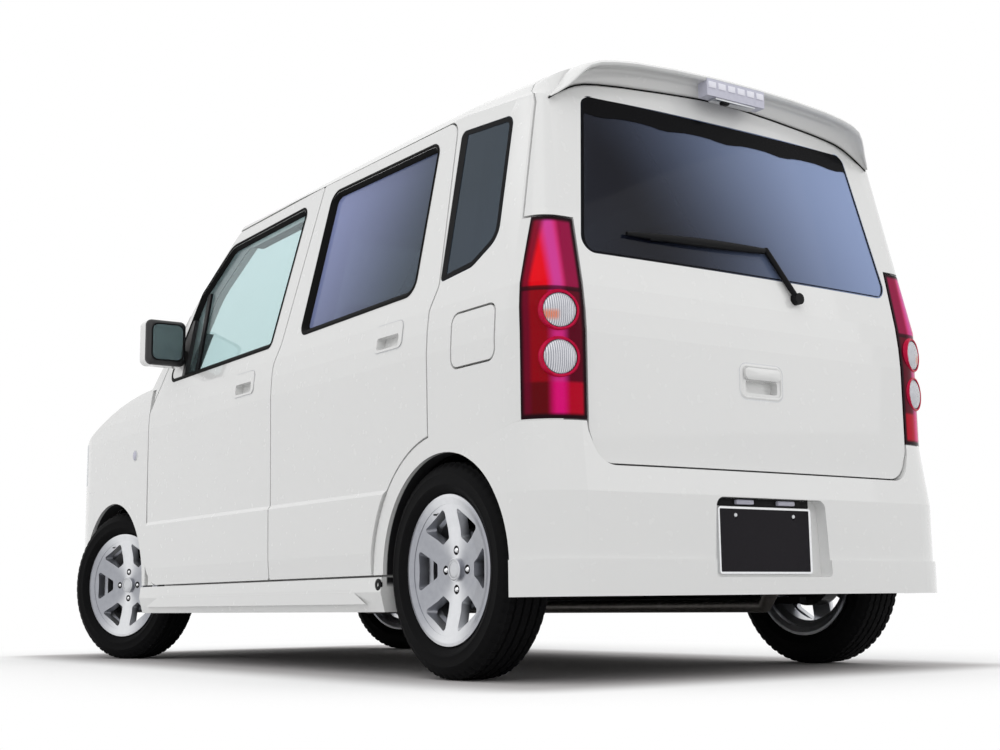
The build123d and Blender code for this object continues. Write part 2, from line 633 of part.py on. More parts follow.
def knuckle(side):
    """Upright with kingpin and spindle."""
    wheel_y = FRONT_TRACK / 2
    middle = (FRONT_AXLE, KINGPIN_Y, TYRE_RADIUS)
    post = rod((FRONT_AXLE, KINGPIN_Y, ARM_HIGH + SEAT), (FRONT_AXLE, KINGPIN_Y, KNUCKLE_TOP - SEAT), KNUCKLE_RADIUS)
    hub = rod(middle, (FRONT_AXLE, wheel_y + HUB_FACE, TYRE_RADIUS), HUB_RADIUS)
    stub = rod(middle, (FRONT_AXLE, wheel_y + SPINDLE_END, TYRE_RADIUS), SPINDLE_RADIUS)
    left = post + hub + stub
    return steered(left if side > 0 else mirror(left, Plane.XZ), side)


def rear_axle():
    """Beam with trailing links, springs, back plates and spindles."""
    face_y = REAR_TRACK / 2 + HUB_FACE

    def across(start, end, radius):
        return rod((REAR_AXLE, start, TYRE_RADIUS), (REAR_AXLE, end, TYRE_RADIUS), radius)

    beam = across(-face_y, face_y, BEAM_RADIUS)
    plate = across(face_y - BACK_PLATE, face_y, BACK_PLATE_RADIUS)
    stub = across(face_y - BACK_PLATE, REAR_TRACK / 2 + SPINDLE_END, SPINDLE_RADIUS)
    link = rod((REAR_AXLE, LINK_Y, TYRE_RADIUS - 10), (LINK_X, LINK_Y, FLOOR_SEAT - 40), LINK_RADIUS)
    link += block(LINK_X - LINK_EYE, LINK_X + LINK_EYE, LINK_Y - LINK_EYE, LINK_Y + LINK_EYE,
                  FLOOR_SEAT - 60, FLOOR_SEAT - SEAT)
    spring = rod((REAR_AXLE, LINK_Y, TYRE_RADIUS), (REAR_AXLE, LINK_Y, FLOOR_LUGGAGE - SEAT), SPRING_RADIUS)
    for piece in (plate, stub, link, spring):
        beam += piece
        beam += mirror(piece, Plane.XZ)
    return beam


def wheel():
    """Alloy wheel on its own axis, outer side up: rim, dished face with six windows, hub and brake drum."""
    rim = make_face(Polyline(
        (FLANGE_RADIUS, -63), (FLANGE_RADIUS, -RIM_HALF_WIDTH), (RIM_RADIUS, -RIM_HALF_WIDTH), (RIM_RADIUS, -40),
        (160, -30), (160, 8), (RIM_RADIUS, 22), (RIM_RADIUS, RIM_HALF_WIDTH), (FLANGE_RADIUS, RIM_HALF_WIDTH),
        (FLANGE_RADIUS, 63), (186, 64), (170, 58), (168, 28), (150, 10), (150, -34), (168, -46), (170, -58),
        (186, -64), close=True))
    dish = make_face(Polyline(
        (0, 10), (60, 10), (110, 18), (172, 30), (172, 57), (110, 41), (60, 35), (0, 35), close=True))
    body = revolve(Plane.XZ * rim, Axis.Z) + revolve(Plane.XZ * dish, Axis.Z)
    window = loft([Plane.XY.offset(height) * wheel_window(*size) for height, *size in WHEEL_WINDOW], ruled=True)
    for spoke in range(SPOKES):
        body -= Rot(0, 0, 360 / SPOKES * (spoke + 0.5) + 90) * window
    body += Pos(0, 0, (DRUM_BACK + DRUM_FACE) / 2) * Cylinder(DRUM_RADIUS, DRUM_FACE - DRUM_BACK)
    for nut in range(NUTS):
        body -= Rot(0, 0, 360 / NUTS * nut) * (Pos(NUT_CIRCLE / 2, 0, 36) * Cylinder(NUT_WELL, 24))
    body += Pos(0, 0, 37) * Cylinder(CAP_RADIUS, 12)
    bore = Cylinder(SPINDLE_RADIUS + SEAT, SPINDLE_END + 2 - DRUM_BACK)
    return body - Pos(0, 0, (DRUM_BACK + SPINDLE_END) / 2) * bore


def wheel_window(inner, inner_spoke, outer, outer_spoke, radius):
    """Gap between two spokes, from its inner and outer radius and the half width of a spoke at each."""
    corners = []
    for reach, half_spoke, turn in ((inner, inner_spoke, -1), (outer, outer_spoke, -1),
                                    (outer, outer_spoke, 1), (inner, inner_spoke, 1)):
        angle = turn * (radians(180 / SPOKES) - asin(half_spoke / reach))
        corners.append((reach * cos(angle), reach * sin(angle), radius))
    return rounded(corners)


def tyre():
    """Tyre section turned about the wheel's axis."""
    half, bulge = RIM_HALF_WIDTH - SEAT, TYRE_WIDTH / 2
    flank = [(RIM_RADIUS + SEAT, half), (FLANGE_RADIUS + SEAT, half), (FLANGE_RADIUS + 28, bulge), (252, bulge - 4),
             (268, bulge - 13), (TYRE_RADIUS - 2, bulge - 26), (TYRE_RADIUS, bulge - 44)]
    section = flank + [(radius, -across) for radius, across in reversed(flank)]
    return revolve(Plane.XZ * make_face(Polyline(*section, close=True)), Axis.Z)


def wheel_places():
    """Name, place and way out of each wheel: rows of name, axle, track, side, steered."""
    rows = (("front_left", FRONT_AXLE, FRONT_TRACK, 1, True), ("front_right", FRONT_AXLE, FRONT_TRACK, -1, True),
            ("rear_left", REAR_AXLE, REAR_TRACK, 1, False), ("rear_right", REAR_AXLE, REAR_TRACK, -1, False))
    shapes = (("wheel", wheel()), ("tyre", tyre()))
    for name, axle_x, track, side, turns in rows:
        for kind, shape in shapes:
            placed = Pos(axle_x, side * track / 2, TYRE_RADIUS) * Rot(-90 * side, 0, 0) * shape
            PARTS[kind + "_" + name] = steered(placed, side) if turns else placed


def seats():
    """Front seats, and the rear bench with its back, as plain soft forms."""
    low = FLOOR_LOW + FLOOR_SHEET + SEAT
    side = ((-170, low, 20), (350, low, 20), (380, 470, 60), (0, 440, 60), (-190, 1010, 20), (-160, 1040, 10),
            (-185, 1190, 30), (-265, 1180, 30), (-270, 1010, 20), (-160, 430, 60))
    low = FLOOR_SEAT + FLOOR_SHEET + SEAT
    bench_side = ((-900, low, 20), (-470, low, 30), (-440, 520, 50), (-800, 510, 50), (-935, 1010, 25),
                  (-1000, 1010, 25), (-905, 500, 40))
    return both(prism_y(rounded(side), 95, 565)), prism_y(rounded(bench_side), -500, 500)


def dashboard():
    side = ((DASH_X, 560, 5), (DASH_X, 990, 5), (700, 985, 40), (560, 930, 40), (545, 800, 40), (620, 700, 40),
            (700, 560, 20))
    return prism_y(rounded(side), -SKIN, SKIN) & tub(WALL + SEAT) & crown(ROOF_DEPTH)


def steering_wheel():
    """Rim, hub, three spokes and the column into the dashboard."""
    body = revolve(Plane.XZ * Pos(RIM_CIRCLE, 0) * RegularPolygon(RIM_GRIP, 8), Axis.Z) + Cylinder(62, 40)
    for turn in (0, 180, 270):
        body += Rot(0, 0, turn) * (Pos(110, 0, 0) * Box(140, 34, RIM_GRIP))
    body += Pos(0, 0, -70) * Cylinder(28, 140)
    return (Pos(*STEERING_AT) * Rot(0, STEERING_TILT, 0) * body) - dashboard()


def side_skirt():
    inner = SKIN - DOOR_DEPTH - RING_GAP + SEAT
    section = make_face(Polyline((inner, SILL_TOP), (SKIN + 4, SILL_TOP), (SKIN + DOOR_PAD, SILL_TOP - 40),
                                 (SKIN - 6, UNDERSIDE - 8), (inner, UNDERSIDE - 8), close=True))
    return prism_x(section, -960, 815) - LEFT_ARCHES


def exhaust():
    """Pipe from the engine under the floor to the silencer across the rear, with its two hangers."""
    bends = ((ENGINE_BACK, -250, 290), (935, -300, PIPE_Z), (-1310, -340, PIPE_Z), (SILENCER_X, -260, SILENCER_Z))
    pipe = rod((SILENCER_X, -430, SILENCER_Z), (SILENCER_X, 60, SILENCER_Z), SILENCER_RADIUS)
    for start, end in zip(bends, bends[1:]):
        pipe += rod(start, end, PIPE_RADIUS)
    for bend in bends[1:-1]:
        pipe += Pos(*bend) * Sphere(PIPE_RADIUS)
    pipe += block(190, 210, -335, -300, 180, FLOOR_LOW - SEAT)
    pipe += block(SILENCER_X - 10, SILENCER_X + 10, -210, -180, 360, FLOOR_LUGGAGE - SEAT)
    return pipe - engine_block()


def engine_block():
    return block(ENGINE_BACK, ENGINE_FRONT, -ENGINE_HALF, ENGINE_HALF, ENGINE_LOW, ENGINE_TOP)


def spoiler():
    """Roof spoiler whose blade droops to both tips, and the stop lamp in its rear edge."""
    blade = prism_x(rounded(SPOILER_ARCH), SPOILER_END, SPOILER_FRONT)
    blade &= prism_z(rounded(SPOILER_PLAN), 0, HEIGHT)
    lamp = block(SPOILER_END, SPOILER_END + STOP_LAMP_DEPTH, -STOP_LAMP_HALF, STOP_LAMP_HALF,
                 STOP_LAMP_LOW, STOP_LAMP_HIGH)
    return main_solid((blade - PROUD_BLOCK) - lamp), lamp


def rear_wiper():
    pivot, elbow, end = (GATE_X + 8, -159, 1004), (GATE_X + 34, -72, 1135), (GATE_X + 36, 345, 1114)
    arm = rod((GATE_X + 40, -159, 1004), (GATE_X - 2, -159, 1004), 16)
    arm += rod(pivot, elbow, 8)
    arm += Pos(*elbow) * Sphere(8)
    arm += rod(elbow, end, 6)
    return arm - PROUD_BLOCK


def mirror_left():
    shell = fillet(block(500, 590, 700, 850, 1048, 1212).edges(), 22)
    sail = rounded(FRONT_WINDOW, -SEAT) & (Pos(600, 1100) * Rectangle(200, 240))
    base = (prism_y(sail, 0, WIDTH) & SKIN_BLOCK) - tub(GLASS_DEPTH - SEAT)
    return shell + base + block(528, 568, 690, 705, 1060, 1110)


def fuel_flap():
    return (prism_y(rounded(FUEL_FLAP), 0, WIDTH) & SKIN_BLOCK) - tub(FLAP_DEPTH)


PARTS = {}


def assemble():
    for name in ("front", "rear"):
        panel, frame = door(name)
        glass = pane(DOOR_FACES[name][1], GLASS_DEPTH)
        for kind, left in (("_door_", panel), ("_door_frame_", frame), ("_door_glass_", glass)):
            PARTS[name + kind + "left"] = left
            PARTS[name + kind + "right"] = mirror(left, Plane.XZ)
    side = body_side()
    PARTS["body_side_left"] = side
    PARTS["body_side_right"] = mirror(side, Plane.XZ)
    PARTS["quarter_glasses"] = both(pane(rounded(QUARTER_WINDOW), 1.0))
    PARTS["tailgate"] = tailgate()
    PARTS["tailgate_glass"] = tailgate_glass()
    PARTS["tail_lamps"] = both(lamp_block())
    PARTS["rear_bumper"] = rear_bumper()
    PARTS["roof_panel"] = roof_panel()
    PARTS["windscreen"] = windscreen()
    PARTS["bonnet"] = FRONT_SHELL & bonnet_zone()
    PARTS["front_fenders"] = both(main_solid(fender()))
    PARTS["headlamps"] = both((FRONT_SHELL & headlamp_zone()) - bonnet_zone(SHUT))
    PARTS["front_bumper"] = front_bumper()
    PARTS["front_grille"] = front_grille()
    PARTS["nose_panel"] = nose_panel()
    PARTS["cowl_panel"] = cowl()
    PARTS["floor_pan"] = floor_pan()
    PARTS["front_suspension"] = front_suspension()
    PARTS["knuckle_left"] = knuckle(1)
    PARTS["knuckle_right"] = knuckle(-1)
    PARTS["rear_axle"] = rear_axle()
    wheel_places()
    PARTS["front_seats"], PARTS["rear_seat"] = seats()
    PARTS["dashboard"] = dashboard()
    PARTS["steering_wheel"] = steering_wheel()
    PARTS["side_skirts"] = both(side_skirt())
    PARTS["exhaust"] = exhaust()
    PARTS["rear_spoiler"], PARTS["high_mount_lamp"] = spoiler()
    PARTS["rear_wiper"] = rear_wiper()
    PARTS["mirror_left"] = mirror_left()
    PARTS["mirror_right"] = mirror(PARTS["mirror_left"], Plane.XZ)
    PARTS["fuel_flap"] = fuel_flap()
    PARTS["engine_block"] = engine_block()
    PARTS["fuel_tank"] = block(-840, -520, -300, 380, 205, FLOOR_SEAT - SEAT)
    PARTS["number_plate"] = number_plate()


assemble()
os.makedirs("parts", exist_ok=True)
for name, shape in PARTS.items():
    export_step(shape, os.path.join("parts", name + ".step"))
    print(name, len(shape.solids()), [round(s.volume / 1e3) for s in shape.solids()])
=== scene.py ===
"""Looks of a white kei car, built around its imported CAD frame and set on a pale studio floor."""

import bmesh
import bpy
import math
import numpy as np
from bpy.props import FloatProperty, FloatVectorProperty, IntProperty, PointerProperty
from mathutils import Matrix, Vector
from mathutils.bvhtree import BVHTree
from mathutils.interpolate import poly_3d_calc


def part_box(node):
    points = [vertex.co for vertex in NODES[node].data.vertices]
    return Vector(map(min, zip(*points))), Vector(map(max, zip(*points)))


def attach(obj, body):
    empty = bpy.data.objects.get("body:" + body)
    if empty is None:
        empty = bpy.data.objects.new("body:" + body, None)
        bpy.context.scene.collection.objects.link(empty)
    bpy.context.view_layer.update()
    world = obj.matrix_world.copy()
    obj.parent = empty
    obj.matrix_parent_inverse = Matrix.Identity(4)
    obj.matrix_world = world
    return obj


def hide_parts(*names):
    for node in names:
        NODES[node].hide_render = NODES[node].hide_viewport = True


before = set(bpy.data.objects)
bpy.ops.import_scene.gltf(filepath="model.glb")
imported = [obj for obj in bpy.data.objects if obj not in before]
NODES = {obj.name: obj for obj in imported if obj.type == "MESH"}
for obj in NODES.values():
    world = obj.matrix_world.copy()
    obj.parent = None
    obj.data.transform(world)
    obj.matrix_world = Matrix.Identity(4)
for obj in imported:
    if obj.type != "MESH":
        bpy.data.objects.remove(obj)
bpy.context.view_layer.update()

bl_info = {
    "name": "Kei car looks",
    "version": (1, 0, 0),
    "blender": (4, 5, 0),
    "location": "View3D > Sidebar > Kei car",
    "description": "Finishes, lamps, wheels, trim and cabin of a kei car",
    "category": "Object",
}

SIDES = (("left", 1.0), ("right", -1.0))
AXLE_HEIGHT = 0.2785
STEER_REST = math.radians(20.0)
NUT_CIRCLE = 0.050
KINGPIN_Y = 0.540
ARCH_FRONT, ARCH_RADIUS = 1.1205, 0.312
ARCH_REAR, ARCH_REAR_RADIUS = -1.2395, 0.300
WELL_RADIUS = 0.358
# The side skin: its half width, and the heights above which it leans in further, each with its slope
SKIN_HALF = 0.7295
SKIN_LEAN = ((0.845, 0.06), (0.905, 0.0617), (0.965, 0.0625))
# Rays that look for the skin start at this y beside the car or this x behind it
BESIDE, BEHIND = 1.2, -2.4
CORNER_STEPS = 6
# Wheel rows: name, axle x, half track, side, steered
WHEEL_ROWS = (
    ("front_left", 1.1325, 0.6475, 1.0, True),
    ("front_right", 1.1325, 0.6475, -1.0, True),
    ("rear_left", -1.2275, 0.645, 1.0, False),
    ("rear_right", -1.2275, 0.645, -1.0, False),
)


class KeiPaint(bpy.types.PropertyGroup):
    """Paint of the body panels."""

    pearl: FloatVectorProperty(
        name="Pearl", description="Body colour",
        subtype="COLOR", size=3, default=(0.80, 0.80, 0.79), min=0, max=1,
    )
    shade: FloatVectorProperty(
        name="Pearl shade", description="Colour of the pearl's mist",
        subtype="COLOR", size=3, default=(0.775, 0.78, 0.78), min=0, max=1,
    )
    flake: FloatProperty(
        name="Flake", description="Size of the pearl's mist", unit="LENGTH", default=0.02, min=0.0002
    )


class KeiTyre(bpy.types.PropertyGroup):
    """Tread of the tyres."""

    segments: IntProperty(name="Segments", description="Steps around the tyre", default=240, min=48)
    blocks: IntProperty(name="Blocks", description="Tread blocks around the tyre", default=60, min=12)
    groove: FloatProperty(
        name="Groove", description="Depth of the long grooves", unit="LENGTH", default=0.006, min=0
    )
    sipe: FloatProperty(
        name="Sipe", description="Depth of the cross cuts", unit="LENGTH", default=0.0035, min=0
    )


class KeiTrim(bpy.types.PropertyGroup):
    """Seals, glass borders and lenses."""

    seal: FloatProperty(
        name="Seal", description="Width of the window seals", unit="LENGTH", default=0.011, min=0.002
    )
    band: FloatProperty(
        name="Band", description="Width of the black glass border", unit="LENGTH", default=0.05, min=0.002
    )
    lens: FloatProperty(
        name="Lens", description="Radius of the round lamp lenses", unit="LENGTH", default=0.043, min=0.01
    )


class KeiStage(bpy.types.PropertyGroup):
    """Studio light and floor."""

    dome: FloatProperty(name="Dome", description="Light of the wall behind the car", default=1.06, min=0)
    back: FloatProperty(name="Back", description="Light of the wall behind the camera", default=0.95, min=0)
    top: FloatProperty(name="Top", description="Extra light of the ceiling", default=0.05, min=0)
    key: FloatProperty(
        name="Key", description="Power of the key light", unit="POWER", default=30.0, min=0
    )
    bounce: FloatProperty(
        name="Bounce", description="Share of light that the floor throws up", default=0.5, min=0, max=1
    )
    floor: FloatProperty(
        name="Floor", description="Half size of the floor", unit="LENGTH", default=60.0, min=5
    )


class Val:
    """A shader value that takes part in arithmetic."""

    def __init__(self, shader, socket):
        self.shader = shader
        self.socket = socket

    def math(self, operation, *others):
        return self.shader.get("ShaderNodeMath", {"operation": operation}, self, *others)

    def __add__(self, other):
        return self.math("ADD", other)

    def __radd__(self, other):
        return self.math("ADD", other)

    def __sub__(self, other):
        return self.math("SUBTRACT", other)

    def __rsub__(self, other):
        return (self * -1.0) + other

    def __mul__(self, other):
        return self.math("MULTIPLY", other)

    def __rmul__(self, other):
        return self.math("MULTIPLY", other)

    def __truediv__(self, other):
        return self.math("DIVIDE", other)

    def __rtruediv__(self, other):
        return self.math("POWER", -1.0) * other

    def step(self, low, high):
        """0 below low, 1 above high, smooth between; falls where low is above high."""
        return self.shader.get(
            "ShaderNodeMapRange", {"interpolation_type": "SMOOTHSTEP"}, self, low, high, 0.0, 1.0
        )

    def parts(self):
        split = self.shader.node("ShaderNodeSeparateXYZ", {}, self)
        return [Val(self.shader, out) for out in split.outputs]


class Shader:
    """A procedural material around one Principled surface."""

    def __init__(self, name, **constants):
        self.material = bpy.data.materials.new(name)
        self.material.use_nodes = True
        self.tree = self.material.node_tree
        self.surface = self.tree.nodes["Principled BSDF"]
        self.output = self.tree.nodes["Material Output"]
        self.set(self.surface, constants)

    @classmethod
    def of_tree(cls, tree):
        """Nodes for a tree that has no Principled surface."""
        made = cls.__new__(cls)
        made.tree = tree
        return made

    def set(self, node, constants):
        for key, value in constants.items():
            node.inputs[key.replace("_", " ")].default_value = value

    def plug(self, socket, value):
        if isinstance(value, Val):
            self.tree.links.new(value.socket, socket)
        elif value is not None:
            socket.default_value = value

    def node(self, kind, settings, *inputs, **named):
        """New node: its settings first, then its sockets in order or by name."""
        made = self.tree.nodes.new(kind)
        for key, value in settings.items():
            setattr(made, key, value)
        for socket, value in zip(made.inputs, inputs):
            self.plug(socket, value)
        for key, value in named.items():
            self.plug(made.inputs[key.replace("_", " ")], value)
        return made

    def get(self, kind, settings, *inputs):
        return Val(self, self.node(kind, settings, *inputs).outputs[0])

    def place(self):
        """Position in the car's own frame."""
        return Val(self, self.node("ShaderNodeTexCoord", {}).outputs["Object"])

    def noise(self, scale, detail=2.0):
        return self.get("ShaderNodeTexNoise", {}, self.place(), None, scale, detail)

    def cells(self, scale):
        return self.get("ShaderNodeTexVoronoi", {}, self.place(), None, scale)

    def dot(self, vector, axis):
        made = self.node("ShaderNodeVectorMath", {"operation": "DOT_PRODUCT"}, vector, tuple(axis))
        return Val(self, made.outputs["Value"])

    def colour(self, share, first, second):
        """Mix of two colours; either may be a value."""
        ends = [end if isinstance(end, Val) else (*end, 1.0) for end in (first, second)]
        made = self.node("ShaderNodeMix", {"data_type": "RGBA"}, share)
        for socket, end in zip([s for s in made.inputs if s.type == "RGBA"], ends):
            self.plug(socket, end)
        return Val(self, [s for s in made.outputs if s.type == "RGBA"][0])

    def drive(self, **values):
        for key, value in values.items():
            self.plug(self.surface.inputs[key.replace("_", " ")], value)

    def bump(self, height, distance, strength):
        made = self.node("ShaderNodeBump", {}, Strength=strength, Distance=distance, Height=height)
        self.tree.links.new(made.outputs[0], self.surface.inputs["Normal"])
        return self

    def blend(self, share, other):
        """Mix this surface with the surface of another set of constants."""
        second = self.node("ShaderNodeBsdfPrincipled", {})
        self.set(second, other)
        ends = [Val(self, surface.outputs[0]) for surface in (self.surface, second)]
        mixed = self.node("ShaderNodeMixShader", {}, share, *ends)
        self.tree.links.new(mixed.outputs[0], self.output.inputs["Surface"])
        return second


def skin_depth(shader):
    """How far a point lies below the side skin, and its parts along x and z."""
    x, y, z = shader.place().parts()
    side = y.math("ABSOLUTE")
    lean = sum((z - height).math("MAXIMUM", 0.0) * slope for height, slope in SKIN_LEAN)
    return SKIN_HALF - lean - side, x, z


def wheel_arch(depth, x, z):
    """1 inside the wheel arches, behind their painted lip."""
    rise = (z - AXLE_HEIGHT) * (z - AXLE_HEIGHT)
    front = ((x - ARCH_FRONT) * (x - ARCH_FRONT) + rise).math("SQRT")
    rear = ((x - ARCH_REAR) * (x - ARCH_REAR) + rise).math("SQRT") * (ARCH_RADIUS / ARCH_REAR_RADIUS)
    reach = front.math("MINIMUM", rear)
    lip = reach.step(ARCH_RADIUS + 0.003, ARCH_RADIUS + 0.001) * depth.step(0.010, 0.014)
    well = reach.step(WELL_RADIUS + 0.002, WELL_RADIUS) * depth.step(0.046, 0.050)
    return lip.math("MAXIMUM", well)


def paint(name, trim_depth=None):
    """Pearl paint; deeper than trim_depth below the side skin it turns into cabin trim."""
    looks = bpy.context.scene.kei_paint
    made = Shader(name, Coat_Roughness=0.03, Coat_IOR=1.5, Specular_IOR_Level=0.3)
    depth, x, z = skin_depth(made)
    mist = made.noise(1.0 / looks.flake, 2.0)
    cloud = made.noise(1.7, 3.0)
    shade = made.colour(mist * 0.4 + cloud * 0.5, tuple(looks.pearl), tuple(looks.shade))
    rough = 0.22 + made.noise(38.0, 2.0) * 0.08
    coat = 0.85 + made.noise(5.0) * 0.15
    arch = wheel_arch(depth, x, z)
    shade = made.colour(arch, shade, (0.006, 0.006, 0.007))
    rough = rough + arch * 0.4
    coat = coat * (1.0 - arch)
    if trim_depth is not None:
        inside = depth.step(trim_depth, trim_depth + 0.002) * (1.0 - arch)
        grain = made.noise(420.0, 2.0)
        trim = made.colour(grain, (0.10, 0.10, 0.105), (0.15, 0.15, 0.155))
        shade = made.colour(inside, shade, trim)
        rough = rough + inside * 0.4
        coat = coat * (1.0 - inside)
    made.drive(Base_Color=shade, Roughness=rough, Coat_Weight=coat)
    return made.material


def plastic(name, dark, pale, rough, grain=600.0, depth=0.0004, **constants):
    made = Shader(name, **constants)
    speck = made.noise(grain, 2.0)
    made.drive(Base_Color=made.colour(speck, dark, pale), Roughness=rough + made.noise(30.0) * 0.12)
    return made.bump(speck, depth, strength=0.25).material


def metal(name, dark, pale, rough, grain):
    made = Shader(name, Metallic=1.0)
    speck = made.noise(grain, 3.0)
    made.drive(Base_Color=made.colour(speck, dark, pale), Roughness=rough + made.noise(24.0) * 0.1)
    return made.material


def alloy(name, matrix):
    """Wheel lacquer with painted light: bright on upright spokes, grey on level ones; dark steel behind and
    in the wells.
    """
    made = Shader(name, Coat_Weight=0.3, Coat_Roughness=0.05)
    centre = tuple(matrix.translation)
    offset = made.get("ShaderNodeVectorMath", {"operation": "SUBTRACT"}, made.place(), centre)
    across, up, depth = [made.dot(offset, matrix.col[i][:3]) for i in range(3)]
    reach = (across * across + up * up).math("SQRT")
    across = across.math("ABSOLUTE")
    up = up.math("ABSOLUTE")
    near = across.math("MAXIMUM", up) - NUT_CIRCLE
    off = across.math("MINIMUM", up)
    well = (near * near + off * off).math("SQRT").step(0.0126, 0.0120)
    rim = reach.step(0.147, 0.149)
    face = depth.step(0.006, 0.012).math("MAXIMUM", rim) * (1.0 - well)
    crest = depth.step(0.014, 0.036).math("MAXIMUM", rim)
    # Painted light and shade: spokes and rim are lighter where they stand upright at rest, greyer where they
    # lie level
    painted_light = (across / (reach + 0.001)).step(0.85, 0.08) * 0.8 + made.noise(60.0, 3.0) * 0.2
    silver = made.colour(painted_light, (0.30, 0.31, 0.345), (0.80, 0.81, 0.83))
    silver = made.colour(crest, (0.13, 0.135, 0.15), silver)
    steel = made.colour(made.noise(40.0), (0.004, 0.004, 0.004), (0.018, 0.017, 0.016))
    made.drive(
        Base_Color=made.colour(face, steel, silver),
        Roughness=0.62 - face * 0.34 + made.noise(45.0) * 0.06,
        Metallic=face * 0.85,
    )
    return made.material


def glass(name, tint, body, pale, share, axis, low, high):
    """Pane: tinted clear glass mixed with a coating whose colour runs along an axis of the car, from its
    dark tint to a pale painted reflection.
    """
    made = Shader(name, Transmission_Weight=1.0, IOR=1.22, Roughness=0.0)
    made.drive(Base_Color=made.colour(made.noise(2.0), tint, tuple(min(1.0, c * 1.04) for c in tint)))
    coating = made.blend(share, {"Roughness": 0.04, "Specular IOR Level": 0.12})
    # Painted reflection: the pale end of the coating's run stands in for the studio light mirrored in the
    # pane
    x, y, z = made.place().parts()
    run = (x * axis[0] + y * axis[1] + z * axis[2]).step(low, high)
    cloud = made.noise(1.3, 2.0) * 0.12
    made.plug(coating.inputs["Base Color"], made.colour(run + cloud - 0.06, body, pale))
    return made.material


def red_lens(name):
    """Tail lamp: red and dark zones behind a clear skin with a painted magenta highlight down it, darkest
    along its outline.
    """
    made = Shader(name, Specular_IOR_Level=0.08)
    # The limits of the zones are places in the car's frame, in metres
    x, y, z = made.place().parts()
    side = y.math("ABSOLUTE")
    rib = made.get("ShaderNodeTexWave", {"bands_direction": "Z"}, made.place(), 160.0, 0.0)
    # Painted highlight: a magenta band down the lamp that runs over every zone
    painted_highlight = side.step(0.622, 0.646) * side.step(0.678, 0.654)
    inner = side.step(0.646, 0.622)
    wrap = x.step(-1.602, -1.590)
    upper = z.step(0.945, 0.955)
    lower = z.step(0.722, 0.712)
    red = made.colour(inner, (0.90, 0.0, 0.008), (0.30, 0.004, 0.06))
    red = made.colour(painted_highlight, red, (0.72, 0.06, 0.36))
    dark = made.colour(side.step(0.650, 0.672), (0.085, 0.0, 0.012), (0.30, 0.0, 0.006))
    dark = made.colour(painted_highlight * 0.9, dark, (0.80, 0.03, 0.30))
    base = made.colour(side.step(0.680, 0.650), (0.10, 0.0, 0.002), (0.50, 0.0, 0.02))
    base = made.colour(painted_highlight, base, (0.80, 0.004, 0.21))
    shade = made.colour(upper, made.colour(lower, dark, base), red)
    shade = made.colour(wrap * 0.85, shade, (0.12, 0.0, 0.02))
    shade = made.colour(rib * 0.2, shade, (0.34, 0.0, 0.01))
    seam = z.step(0.940, 0.9445) * z.step(0.956, 0.9515)
    low = z.step(0.634, 0.645) * z.step(1.131, 1.120)
    rim = side.step(0.585, 0.595) * x.step(-1.574, -1.586)
    keep = low * rim * (1.0 - seam * 0.8)
    shade = made.colour(keep, (0.012, 0.0, 0.003), shade)
    made.drive(Base_Color=shade, Roughness=0.12 + made.noise(70.0) * 0.05)
    return made.bump(rib, 0.0004, strength=0.15).material


def clear_lens(name, dark, pale, ribs, direction, bulb=False):
    """Clear ribbed lens over a bright reflector; a lens with a bulb shows its amber low at the outside."""
    made = Shader(name, Coat_Weight=0.3, Coat_Roughness=0.02, Specular_IOR_Level=0.3)
    wave = made.get("ShaderNodeTexWave", {"bands_direction": direction}, made.place(), ribs, 0.0)
    shade = made.colour(wave * 0.8 + made.noise(35.0) * 0.2, dark, pale)
    if bulb:
        x, y, z = made.place().parts()
        glow = z.step(0.862, 0.876) * z.step(0.898, 0.884) * y.math("ABSOLUTE").step(0.648, 0.662)
        shade = made.colour(glow * (0.35 + wave * 0.6), shade, (0.80, 0.16, 0.03))
    made.drive(
        Base_Color=shade,
        Roughness=0.14 + made.noise(50.0) * 0.06,
        Metallic=0.35 + wave * 0.3,
    )
    return made.bump(wave, 0.0012, strength=0.5).material


def cloth(name, dark, pale):
    made = Shader(name, Sheen_Weight=0.4, Sheen_Roughness=0.4)
    warp = made.get("ShaderNodeTexWave", {"bands_direction": "Y"}, made.place(), 260.0, 0.6, 2.0)
    weft = made.get("ShaderNodeTexWave", {"bands_direction": "DIAGONAL"}, made.place(), 220.0, 0.6, 2.0)
    weave = warp * weft
    shade = made.colour(weave * 0.7 + made.noise(9.0) * 0.3, dark, pale)
    made.drive(Base_Color=shade, Roughness=0.82 + made.noise(80.0) * 0.12)
    return made.bump(weave, 0.0006, strength=0.5).material


def rubber(name, dark, pale, rough):
    made = Shader(name, Specular_IOR_Level=0.06)
    dust = made.noise(14.0, 4.0)
    fine = made.noise(700.0, 2.0)
    shade = made.colour(dust * 0.6 + fine * 0.4, dark, pale)
    made.drive(Base_Color=shade, Roughness=rough + dust * 0.15)
    return made.bump(fine, 0.0003, strength=0.3).material


